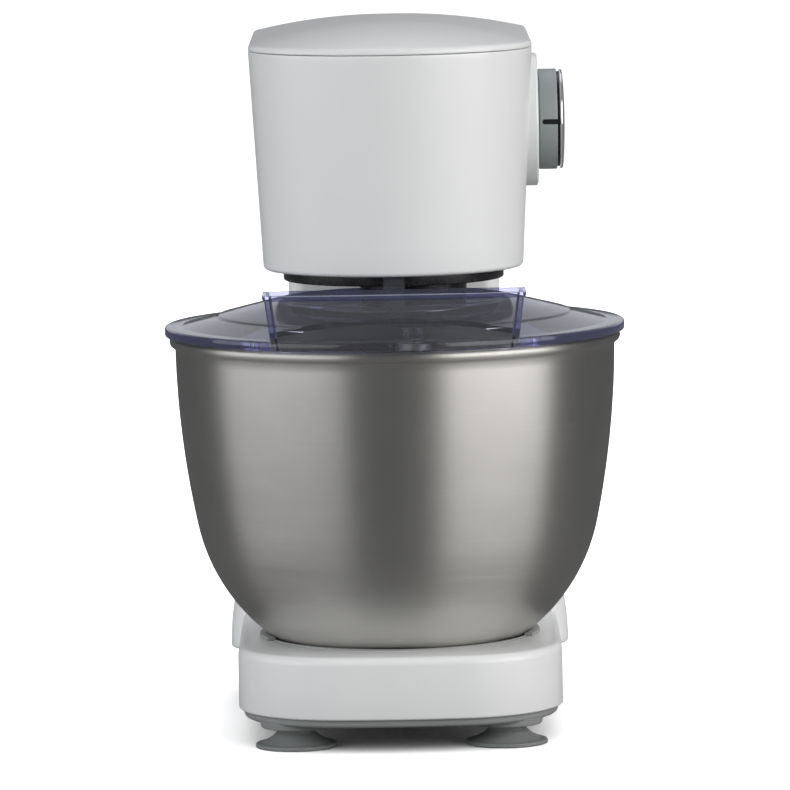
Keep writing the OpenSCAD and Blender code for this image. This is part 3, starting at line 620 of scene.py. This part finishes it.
def knob_group():
    face = bezel_high.x
    knob_turned("knob_bezel_ring", rounded([
        (5, 64, 0), (BEZEL_R - 1.3, 64, 0), (BEZEL_R - 1.3, 66, 0), (BEZEL_R, 66.5, 0),
        (BEZEL_R, face, 1.3), (27.2, face, 0.5), (27.2, face - 1.2, 0.3), (20, face - 1.2, 0.3),
        (20, face - 0.4, 0.3), (5, face - 0.4, 0)]), "knob_bezel")
    back, front = knob_low.x, knob_high.x
    body = knob_turned("knob_body", rounded([
        (4.1, back, 0), (7, back, 0.3), (7, 81, 0.4), (KNOB_R - 2.6, 81, 0.6),
        (KNOB_R - 2.6, back, 0.4), (KNOB_R, back, 0.7), (KNOB_R, front, 1.0),
        (24.35, front, 0.1), (24.35, front - 1.4, 0.1), (4.1, front - 1.4, 0)]), "speed_knob")
    slot_w, slot_x = 2.7, 77.0
    loop = rounded([(slot_x, -slot_w / 2, 1.2), (front + 3, -slot_w / 2, 0),
                    (front + 3, slot_w / 2, 0), (slot_x, slot_w / 2, 1.2)])
    y_out = KNOB_Y - KNOB_R - 2
    y_in = KNOB_Y - KNOB_R + 1.3
    cutter = solid("slot_cutter", *loft(
        [[(x, y, KNOB_Z + z) for x, z in loop] for y in (y_out, y_in)],
        cap_start=True, cap_end=True))
    carve(body, cutter)
    y_face = KNOB_Y - KNOB_R + 0.35
    bar = rounded([(slot_x + 0.1, -slot_w / 2 + 0.1, 1.1), (front + 0.9, -slot_w / 2 + 0.1, 0.2),
                   (front + 0.9, slot_w / 2 - 0.1, 0.2), (slot_x + 0.1, slot_w / 2 - 0.1, 1.1)])
    fit(solid("knob_pointer_bar", *loft(
        [[(x, y, KNOB_Z + z) for x, z in bar] for y in (y_face, y_in - 0.05)],
        cap_start=True, cap_end=True)), "knob_pointer")
    knob_turned("knob_dark_ring", rounded([
        (0.5, front - 1.3, 0), (24.3, front - 1.3, 0.1), (24.3, front + 1.6, 0.2),
        (0.5, front + 1.6, 0)]), "knob_spacer")
    tip = cap_high.x
    cap_r = KNOB_R - 0.25
    dome = [(0.3, tip), (6, tip - 0.03), (12, tip - 0.16), (18, tip - 0.42), (22.5, tip - 0.75)]
    outline = [(0.3, front + 1.2), (cap_r - 1.4, front + 1.2)]
    outline += [(cap_r - 0.5, front + 1.35), (cap_r, front + 1.9), (cap_r, tip - 2.0),
                (cap_r - 0.25, tip - 1.45), (cap_r - 0.8, tip - 1.1)]
    knob_turned("knob_chrome_cap", outline + list(reversed(dome)), "knob_cap")


# ---- Drive parts that show -------------------------------------------------------------------

def carrier():
    disc = rounded([(6, 231, 0), (52.8, 231, 0.8), (52.8, 235, 0.5), (12, 235, 0.5),
                    (12, 239.6, 0.5), (6, 239.6, 0)])
    low = carrier_low.z
    hub = rounded([(11, low, 0.4), (HUB_R, low, 1.6), (HUB_R, 230.2, 0.6), (HUB_R + 1.4, 232, 0),
                   (4.6, 232, 0), (4.6, 229, 0), (11, 229, 0)])
    rib = rounded([(HUB_R - 0.6, low + 6, 0.2), (HUB_R + 0.5, low + 6, 0.4),
                   (HUB_R + 0.5, low + 9, 0.4), (HUB_R - 0.6, low + 9, 0.2)], 3)
    place = (TOOL_X, TOOL_Y, 0)
    skins = join(turned(disc), turned(hub, centre=place, steps=96),
                 turned(rib, centre=place, steps=96))
    return fit(solid("planet_carrier_hub", *skins), "planet_carrier")


def drive_shaft():
    top = shaft_high.z
    place = (TOOL_X, TOOL_Y, 0)
    shaft = rounded([(0.2, shaft_low.z, 0), (4.6, shaft_low.z, 0.8), (6, shaft_low.z + 2, 0.6),
                     (6, 196, 0.3), (5.4, 196.6, 0.2), (5.4, 198.4, 0.2), (6, 199, 0.3),
                     (6, 206, 0.4), (4, 206, 0), (4, top, 0.4), (0.2, top, 0)])
    return fit(solid("tool_drive_shaft", *turned(shaft, centre=place, steps=64)), "tool_shaft")


# ---- Splash guard ----------------------------------------------------------------------------

CHUTE_FOOT_Z = 205.0
CHUTE_FOOT_HW = 61.5
CHUTE_LEAN = 3.2 / 26                            # how far the chute's sides lean out
CHUTE_WALL = 2.4
CHUTE_BACK_Y = -77.0
CHUTE_FRONT_R = 340.0                            # bow of the chute's front
CHUTE_FRONT_Y = -105.0
CHUTE_CORNER_R = 3.2


def chute_hw(z):
    return CHUTE_FOOT_HW + (z - CHUTE_FOOT_Z) * CHUTE_LEAN


def chute_loop(z, inset, grow=0.0):
    """Plan of the feed chute at height z: slanted sides and a slightly bowed front."""
    hw = chute_hw(z) - inset + grow
    front_r = CHUTE_FRONT_R + (z - CHUTE_FOOT_Z) * 6 / 26 - inset + grow
    front_c = CHUTE_FRONT_R + CHUTE_FRONT_Y
    back = CHUTE_BACK_Y - inset + grow
    corner = CHUTE_CORNER_R
    n = 24
    front_edge = front_c - math.sqrt(front_r ** 2 - (hw - corner) ** 2)
    loop = []
    for i in range(n + 1):
        x = -(hw - corner) + 2 * (hw - corner) * i / n
        loop.append((x, front_c - math.sqrt(front_r ** 2 - x * x)))
    tilt = math.degrees(math.asin((hw - corner) / front_r))
    centre = (hw - corner, front_edge + corner)
    right = arc(centre, corner, 270 + tilt, 360, 6)[1:]
    loop += right
    loop += line(right[-1], (hw, back), 4)
    loop += [(hw, back)]
    loop += line((hw, back), (-hw, back), 12)
    loop += [(-hw, back)]
    loop += line((-hw, back), (-right[-1][0], right[-1][1]), 4)
    loop += [(-x, y) for x, y in reversed(right)]
    return loop


def chute_solid(name, inset, z0, z1, rim=False):
    heights = [z0 + (z1 - z0) * i / 6 for i in range(7)]
    rings = [[(x, y, z) for x, y in chute_loop(z, inset)] for z in heights]
    if rim:
        lip = 0.9
        rings = rings[:-1]
        for z, grow in ((z1 - 2.6, 0), (z1 - 2.1, lip * 0.7), (z1 - 1.7, lip), (z1 - 0.5, lip),
                        (z1 - 0.1, lip - 0.15), (z1, lip - 0.5)):
            rings.append([(x, y, z) for x, y in chute_loop(z, inset, grow)])
    return solid(name, *loft(rings, cap_start=True, cap_end=True))


def guard_details():
    """Bayonet hooks up to the head, and small locating ribs on the flange's edge."""
    hook_out = 61.3
    top = HEAD_BOTTOM_Z - 0.6
    post = rounded([(59.3, 218.6, 0), (hook_out, 218.6, 0), (hook_out, top, 0.4),
                    (56.6, top, 0.3), (56.6, top - 1.6, 0.3), (59.3, top - 1.6, 0.4)], 3)
    skins = [turned(post, steps=10, start=a - 5, sweep=10) for a in HOOK_ANGLES]
    rib = rounded([(GUARD_R - 0.4, FLANGE_Z + 0.4, 0), (GUARD_R + 0.5, FLANGE_Z + 0.6, 0.2),
                   (GUARD_R + 0.5, FLANGE_Z + 4.3, 0.2), (GUARD_R - 0.4, FLANGE_Z + 4.5, 0)], 2)
    for middle in (270 - 36.5, 270, 270 + 36.5):
        for offset in (-1.3, 0.1, 1.1):
            skins.append(turned(rib, steps=2, start=middle + offset, sweep=0.45))
    return trim(solid("splash_guard_hooks", *join(*skins)), "splash_guard", "clear_smoke")


def splash_guard():
    top = 208.0
    outline = rounded([
        (GUARD_R, FLANGE_Z, 0.9), (GUARD_R, top, 1.4), (108, top, 1.5), (90.6, 212.2, 1),
        (89.4, 213.3, 1), (75, 217, 6), (60.5, 220.3, 1.5), (58, 220.9, 0.8), (56.4, 220.9, 0.7),
        (56.4, 218.2, 0.7), (59, 217.6, 1), (75, 214.4, 6), (89.2, 210.6, 1), (90.4, 209.6, 1),
        (104.6, 206.0, 1), (104.6, 199.5, 0.6), (107, 199.5, 0.8), (107, FLANGE_Z, 0.6)])
    guard = solid("splash_guard_shell", *turned(outline, steps=192))
    carve(guard, chute_solid("chute_outer", 0, CHUTE_FOOT_Z + 0.2, CHUTE_Z, rim=True), "UNION")
    carve(guard, chute_solid("chute_inner", CHUTE_WALL, 188, 240))
    fit(guard, "splash_guard")
    guard.data.materials.append(SMOKE_EDGE_PAINTED_SHADE)
    # Faces on the flange's edge, the rim lip and the chute's front corners take the darker edge
    # material: painted shade where the sheet is seen edge on from the front.
    for face in guard.data.polygons:
        x, y, z = face.center / MM
        y -= AXIS_Y
        behind_chute = abs(x) < CHUTE_FOOT_HW - 1 and y < 0
        on_flange_edge = math.hypot(x, y) > GUARD_R - 1.2 and z < top - 0.3 and not behind_chute
        on_lip = z > CHUTE_Z - 2.7
        on_corner = z > top + 0.5 and y < -70 and abs(x) > chute_hw(z) - 3.1
        if on_flange_edge or on_lip or on_corner:
            face.material_index = 1
    return guard


# ---- Bowl ------------------------------------------------------------------------------------

BEAD_R = 2.8
RIM_R = bowl_high.x - 2.9
RIM_Z = bowl_high.z - BEAD_R
FLOOR_Z = bowl_low.z
SIDE_R = 466.0
BELLY_R = 95.0
JOIN_Z = 105.5


def bowl_radius(z, inset=0.0):
    """Radius of the bowl's wall: a long arc down the side that runs into the belly's arc."""
    lean = math.asin((RIM_Z - JOIN_Z + 2) / SIDE_R)
    side_c = RIM_R - SIDE_R
    if z >= JOIN_Z:
        return side_c + math.sqrt((SIDE_R - inset) ** 2 - (RIM_Z + 2 - z) ** 2)
    join_r = side_c + SIDE_R * math.cos(lean)
    centre_r = join_r - BELLY_R * math.cos(lean)
    centre_z = JOIN_Z + BELLY_R * math.sin(lean)
    return centre_r + math.sqrt((BELLY_R - inset) ** 2 - (centre_z - z) ** 2)


def bowl():
    sheet = 1.0
    lowest = FLOOR_Z + 2.5
    heights = [lowest + (RIM_Z - 4 - lowest) * (i / 46) ** 1.15 for i in range(47)]
    outline = [(0.3, FLOOR_Z)] + [(r, FLOOR_Z) for r in (20, 40)]
    outline += rounded([(40, FLOOR_Z, 0), (bowl_radius(FLOOR_Z) - 0.8, FLOOR_Z, 7),
                        (bowl_radius(lowest), lowest, 0)], 6)[1:-1]
    outline += [(bowl_radius(z), z) for z in heights]
    bead = [(RIM_R + 0.1 + BEAD_R * math.cos(math.radians(a)),
             RIM_Z + BEAD_R * math.sin(math.radians(a))) for a in range(-75, 166, 12)]
    outline += bead
    outline += [(bowl_radius(z, sheet), z) for z in reversed(heights)]
    outline += [(bowl_radius(FLOOR_Z + 1, sheet) - 4, FLOOR_Z + sheet + 0.4)]
    outline += [(40, FLOOR_Z + sheet), (20, FLOOR_Z + sheet), (0.3, FLOOR_Z + sheet)]
    return fit(solid("mixing_bowl", *turned(outline, steps=224)), "bowl")


# ---- Base ------------------------------------------------------------------------------------

PLATFORM_HW = platform_high.x
FRONT_Y = platform_low.y
REAR_Y = platform_high.y - 0.6                   # the column's foot stands just proud of it
TRAY_TOP = platform_low.z


def platform_loop(inset):
    """Plan of the platform: shallow front arc, wide front corners, rounded rear corners."""
    front_r, corner_r, rear_r = 300.0, 55.0, 40.0
    corner_x = PLATFORM_HW - corner_r
    front_c = FRONT_Y + front_r
    corner_y = front_c - math.sqrt((front_r - corner_r) ** 2 - corner_x ** 2)
    tilt = math.degrees(math.asin(corner_x / (front_r - corner_r)))
    rear_x = PLATFORM_HW - rear_r
    rear_c = REAR_Y - rear_r
    loop = arc((0, front_c), front_r - inset, 270 - tilt, 270 + tilt, 24)
    loop += arc((corner_x, corner_y), corner_r - inset, 270 + tilt, 360, 28)[1:]
    loop += line((PLATFORM_HW - inset, corner_y), (PLATFORM_HW - inset, rear_c), 12)
    loop += arc((rear_x, rear_c), rear_r - inset, 0, 90, 18)
    loop += line((rear_x, REAR_Y - inset), (-rear_x, REAR_Y - inset), 8)
    loop += arc((-rear_x, rear_c), rear_r - inset, 90, 180, 18)
    loop += line((-PLATFORM_HW + inset, rear_c), (-PLATFORM_HW + inset, corner_y), 12)
    loop += arc((-corner_x, corner_y), corner_r - inset, 180, 270 - tilt, 28)[:-1]
    return loop


def toward_axis(loop, radius):
    """The loop's points drawn in to a circle about the main axis."""
    out = []
    for x, y in loop:
        size = math.hypot(x, y)
        out.append((x * radius / size, y * radius / size))
    return out


def ring_at(loop, z):
    return [(x, y, z) for x, y in loop]


def platform():
    edge = 4.2
    rings = [ring_at(toward_axis(platform_loop(0), 1), TRAY_TOP),
             ring_at(platform_loop(1.2), TRAY_TOP)]
    for inset, drop in reversed(edge_rows(1.2, 4)):
        rings.append(ring_at(platform_loop(inset), TRAY_TOP + drop))
    rings.append(ring_at(platform_loop(0), 30))
    for inset, drop in edge_rows(edge, 8):
        rings.append(ring_at(platform_loop(inset), PLATFORM_Z - drop))
    base = platform_loop(edge)
    recess_edge = 1.4
    rings.append(ring_at(toward_axis(base, RECESS_R + recess_edge), PLATFORM_Z))
    for inset, drop in reversed(edge_rows(recess_edge, 4)):
        rings.append(ring_at(toward_axis(base, RECESS_R + inset), PLATFORM_Z - drop))
    rings.append(ring_at(toward_axis(base, RECESS_R), RECESS_Z))
    rings.append(ring_at(toward_axis(base, 1), RECESS_Z))
    verts, faces = loft(rings, cap_start=True, cap_end=True)
    return fit(solid("base_platform_shell", verts, faces), "base_platform")


COLUMN_TOP = column_high.z
COLUMN_FOOT = column_low.z - 4.0
FOOT_HW = column_high.x + 1.6
CRADLE_HW = 56.0
FLARE_R = 347.0


def column_hw(z):
    """Half width of the column: a straight foot, then a hollow sweep up to the hinge."""
    sweep = CRADLE_HW + FLARE_R - math.sqrt(FLARE_R ** 2 - (COLUMN_TOP - z) ** 2)
    soft = 3.0
    return -soft * math.log(math.exp(-FOOT_HW / soft) + math.exp(-sweep / soft))


def column_front(z):
    return 119.0 - 39.0 * ((COLUMN_TOP - z) / (COLUMN_TOP - COLUMN_FOOT)) ** 2.2


def column_loop(z, inset):
    hw = column_hw(z) - inset
    y0 = column_front(z) + inset
    y1 = column_high.y - inset
    rise = (z - COLUMN_FOOT) / (COLUMN_TOP - COLUMN_FOOT)
    front_r = 20 - 12 * rise - inset
    rear_r = 34 - 20 * rise - inset
    loop = arc((-hw + front_r, y0 + front_r), front_r, 180, 270, 10)
    loop += line((-hw + front_r, y0), (hw - front_r, y0), 10)
    loop += arc((hw - front_r, y0 + front_r), front_r, 270, 360, 10)
    loop += line((hw, y0 + front_r), (hw, y1 - rear_r), 8)
    loop += arc((hw - rear_r, y1 - rear_r), rear_r, 0, 90, 12)
    loop += line((hw - rear_r, y1), (-hw + rear_r, y1), 8)
    loop += arc((-hw + rear_r, y1 - rear_r), rear_r, 90, 180, 12)
    loop += line((-hw, y1 - rear_r), (-hw, y0 + front_r), 8)
    return loop


def column():
    edge = 1.6
    rings = [ring_at(column_loop(COLUMN_FOOT, 6), COLUMN_FOOT)]
    for inset, drop in reversed(edge_rows(1.5, 4)):
        rings.append(ring_at(column_loop(COLUMN_FOOT, inset), COLUMN_FOOT + drop))
    rows = 44
    for i in range(1, rows):
        z = COLUMN_FOOT + 2 + (COLUMN_TOP - COLUMN_FOOT - 2 - edge) * i / rows
        rings.append(ring_at(column_loop(z, 0), z))
    for inset, drop in edge_rows(edge, 4):
        rings.append(ring_at(column_loop(COLUMN_TOP, inset), COLUMN_TOP - drop))
    shell = solid("column_shell", *loft(rings, cap_start=True, cap_end=True))
    cradle = arc((HINGE_Y + 1, HINGE_Z), NECK_R + 2, 0, 360, 120)[:-1]
    tool = solid("cradle_cutter", *loft([[(x, y, z) for y, z in cradle] for x in (-110, 110)],
                                        cap_start=True, cap_end=True))
    carve(shell, tool)
    slot = rounded([(-40, 134, 3), (40, 134, 3), (40, 166, 3), (-40, 166, 3)])
    tool = solid("bracket_cutter", *loft([ring_at(slot, z) for z in (115, 195)],
                                         cap_start=True, cap_end=True))
    carve(shell, tool)
    slot = rounded([(145, 138, 2), (155, 138, 2), (155, 160, 2), (145, 160, 2)])
    tool = solid("lever_cutter", *loft([[(x, y, z) for y, z in slot] for x in (36, 75)],
                                       cap_start=True, cap_end=True))
    carve(shell, tool)
    return fit(shell, "column_housing")


def tray():
    low = 12.8
    pad_z = tray_low.z
    rings = [ring_at(toward_axis(platform_loop(0), 1), TRAY_TOP + 0.4),
             ring_at(platform_loop(3), TRAY_TOP + 0.4), ring_at(platform_loop(2.6), TRAY_TOP)]
    rings.append(ring_at(platform_loop(2.6), low + 2.2))
    for inset, drop in edge_rows(2.2, 4):
        rings.append(ring_at(platform_loop(2.6 + inset), low + drop))
    rings.append(ring_at(toward_axis(platform_loop(0), 1), low))
    skins = [loft(rings, cap_start=True, cap_end=True)]
    pad = rounded([(0.3, 14, 0), (18.5, 14, 0), (17.5, pad_z, 1.0), (0.3, pad_z, 0)])
    for x, y in CUP_SPOTS:
        skins.append(turned(pad, centre=(x, y, 0), steps=72))
    return fit(solid("base_tray_shell", *join(*skins)), "base_tray")


def suction_cups():
    r = (cups_high.x - cups_low.x) / 2 - CUP_X
    cup = rounded([(2.2, 9.9, 0), (2.2, 6.6, 0), (4.4, 6.6, 0), (4.4, 3.4, 0.4), (10, 2.6, 1),
                   (14.5, 0.5, 1), (17, 0, 0.5), (r, 0, 0.6), (r, 2, 0.8), (17.2, 2.5, 1.2),
                   (12, 5.4, 3), (9.8, 7.6, 1), (9.8, 9.9, 0)])
    skins = [turned(cup, centre=(x, y, 0), steps=96) for x, y in CUP_SPOTS]
    return fit(solid("suction_cup_set", *join(*skins)), "suction_cups")


def socket():
    top = PLATFORM_Z + 0.4
    r = RECESS_R - 0.2
    ring = rounded([(2, RECESS_Z, 0), (r, RECESS_Z, 0), (r, top, 0.6), (r - 1.8, top, 0.5),
                    (r - 1.8, 37, 0.8), (2, 37, 0)])
    skins = [turned(ring, steps=160)]
    hook = rounded([(50, 40.6, 0.3), (r - 1, 40.6, 0), (r - 1, 41.8, 0), (50, 41.8, 0.3)], 3)
    block = [(54.5, 36), (r - 1, 36), (r - 1, 41), (54.5, 41)]
    for a in (90, 210, 330):
        skins.append(turned(hook, steps=24, start=a - 18, sweep=36))
        skins.append(turned(block, steps=24, start=a - 18, sweep=36))
    claw = rounded([(r - 1, PLATFORM_Z + 0.1, 0), (71.6, PLATFORM_Z + 0.1, 0.2),
                    (71.6, PLATFORM_Z + 1.6, 0.7), (r - 1, PLATFORM_Z + 1.7, 0.3)], 3)
    for a in (0, 180):
        skins.append(turned(claw, steps=32, start=a - 20, sweep=40))
    return fit(solid("bowl_socket_ring", *join(*skins)), "bowl_socket")


# ---- Inner and small parts keep their CAD mesh -----------------------------------------------

BEVELS = {"column_back_cover": 0.8, "release_lever": 0.9, "flat_beater": 1.6, "cable_gland": 0.4}
SMALL_BEVEL = 0.2


def dress(node, obj):
    """Gives a CAD mesh softened edges and its material."""
    weld = obj.modifiers.new("weld", "WELD")
    weld.merge_threshold = 1e-6
    bevel = obj.modifiers.new("soft_edges", "BEVEL")
    bevel.width = BEVELS.get(node, SMALL_BEVEL) * MM
    bevel.segments = 3 if node in BEVELS else 1
    bevel.limit_method = "ANGLE"
    bevel.angle_limit = math.radians(42)
    bevel.harden_normals = True
    material = MATERIALS[NODE_SLOT[node]]
    obj.data.materials.clear()
    obj.data.materials.append(material)


# ---- Camera, floor and light -----------------------------------------------------------------

def camera():
    """A long lens far in front and slightly above, as in a catalogue picture."""
    distance, height = 3.577, 0.531
    pitch, roll = 5.757, -1.0
    data = bpy.data.cameras.new("camera")
    data.lens = 321.4
    data.sensor_width = 36
    data.clip_end = 30
    obj = bpy.data.objects.new("camera", data)
    scene.collection.objects.link(obj)
    turn = Matrix.Rotation(math.radians(90 - pitch), 4, "X")
    turn = turn @ Matrix.Rotation(math.radians(roll), 4, "Z")
    obj.matrix_world = Matrix.Translation((-0.0004, AXIS_Y * MM - distance, height)) @ turn
    scene.camera = obj


def floor():
    """A plain pale floor: one wide disc, duller to bounced light than to the camera."""
    rings = [[(r * math.cos(2 * math.pi * i / 64), r * math.sin(2 * math.pi * i / 64), 0)
              for i in range(64)] for r in (300, 3000, 14000)]
    verts, faces = loft(rings, cap_start=True)
    obj = solid("floor", verts, faces)
    material = surface("pale_floor", (0.90, 0.90, 0.90), (0.92, 0.92, 0.92), (0.8, 0.9),
                       relief=0.0, specular=0.0)
    nodes, links = material.node_tree.nodes, material.node_tree.links
    shader = nodes["Principled BSDF"]
    place = nodes.new("ShaderNodeTexCoord").outputs["Object"]
    size = nodes.new("ShaderNodeVectorMath")
    size.operation = "LENGTH"
    links.new(place, size.inputs[0])
    near = nodes.new("ShaderNodeMapRange")
    near.interpolation_type = "SMOOTHSTEP"
    near.inputs["From Min"].default_value = 0.2
    near.inputs["From Max"].default_value = 0.6
    links.new(size.outputs["Value"], near.inputs["Value"])
    dull = nodes.new("ShaderNodeBsdfDiffuse")
    links.new(ramp(nodes, links, near.outputs["Result"], (0.08, 0.08, 0.08), (0.06, 0.06, 0.06)),
              dull.inputs["Color"])
    path = nodes.new("ShaderNodeLightPath")
    mix = nodes.new("ShaderNodeMixShader")
    links.new(path.outputs["Is Camera Ray"], mix.inputs["Fac"])
    links.new(dull.outputs["BSDF"], mix.inputs[1])
    links.new(shader.outputs["BSDF"], mix.inputs[2])
    links.new(mix.outputs["Shader"], nodes["Material Output"].inputs["Surface"])
    obj.data.materials.append(material)
    return obj


def softbox(name, azimuth, elevation, width, tall, radiance, tint=(1, 1, 1), mirrored=True):
    """A soft rectangular light aimed at the object's middle; azimuth 0 is the front."""
    distance = 2.4
    data = bpy.data.lights.new(name, "AREA")
    data.shape = "RECTANGLE"
    data.size = width
    data.size_y = tall
    data.energy = radiance * math.pi * width * tall
    data.color = tint
    obj = bpy.data.objects.new(name, data)
    scene.collection.objects.link(obj)
    around, up = math.radians(azimuth), math.radians(elevation)
    middle = Vector((0, 0, 0.2))
    level = math.cos(up)
    away = Vector((math.sin(around) * level, -math.cos(around) * level, math.sin(up)))
    turn = away.to_track_quat("Z", "Y").to_matrix().to_4x4()
    obj.matrix_world = Matrix.Translation(middle + away * distance) @ turn
    obj.visible_glossy = mirrored
    return obj


def shine_only_on(light, name, target):
    only = bpy.data.collections.new(name)
    only.objects.link(target)
    light.light_linking.receiver_collection = only


def floor_light(target):
    """A wide soft light from above that falls on the floor alone, so it stays white and keeps a
    contact shadow."""
    data = bpy.data.lights.new("floor_wash", "SUN")
    data.energy = 3.6
    data.angle = math.radians(130)
    obj = bpy.data.objects.new("floor_wash", data)
    scene.collection.objects.link(obj)
    obj.visible_glossy = False
    shine_only_on(obj, "floor_only", target)


def studio(guard):
    floor_light(floor())
    softbox("key_right", 55, 12, 2.8, 2.4, 2.55, (1.0, 0.985, 0.955))
    softbox("fill_left", -64, 8, 3.6, 2.4, 1.5, (0.985, 0.99, 1.0))
    softbox("front_fill", -12, 14, 1.6, 1.6, 0.95, (0.95, 0.98, 1.0), mirrored=False)
    softbox("side_fill", 72, 20, 1.4, 1.4, 2.5, (1.0, 1.0, 1.0), mirrored=False)
    softbox("left_fill", -72, 16, 1.4, 1.4, 2.0, (1.0, 1.0, 1.0), mirrored=False)
    softbox("back_top", 180, 60, 2.6, 1.6, 1.0, (0.94, 0.93, 1.0))
    softbox("rear_fill", 165, 18, 1.8, 1.8, 2.4, (1.0, 1.0, 1.0), mirrored=False)
    sheen = softbox("guard_sheen", 180, 38, 4.2, 3.2, 0.62, (0.97, 0.97, 1.0))
    shine_only_on(sheen, "guard_only", guard)
    world = bpy.data.worlds.new("studio")
    scene.world = world
    world.use_nodes = True
    nodes, links = world.node_tree.nodes, world.node_tree.links
    light = nodes["Background"]
    light.inputs["Color"].default_value = (0.94, 0.97, 1.0, 1)
    light.inputs["Strength"].default_value = 0.13
    backdrop = nodes.new("ShaderNodeBackground")
    backdrop.inputs["Color"].default_value = (1, 1, 1, 1)
    backdrop.inputs["Strength"].default_value = 1.0
    path = nodes.new("ShaderNodeLightPath")
    mix = nodes.new("ShaderNodeMixShader")
    links.new(path.outputs["Is Camera Ray"], mix.inputs["Fac"])
    links.new(light.outputs["Background"], mix.inputs[1])
    links.new(backdrop.outputs["Background"], mix.inputs[2])
    links.new(mix.outputs["Shader"], nodes["World Output"].inputs["Surface"])


# ---- Building it -----------------------------------------------------------------------------

top_cover()
head_shell()
collar()
knob_group()
carrier()
drive_shaft()
guard_shell = splash_guard()
guard_details()
bowl()
platform()
column()
tray()
suction_cups()
socket()

for node, obj in frame["nodes"].items():
    dress(node, obj)

camera()
studio(guard_shell)
scene.view_settings.view_transform = "Standard"
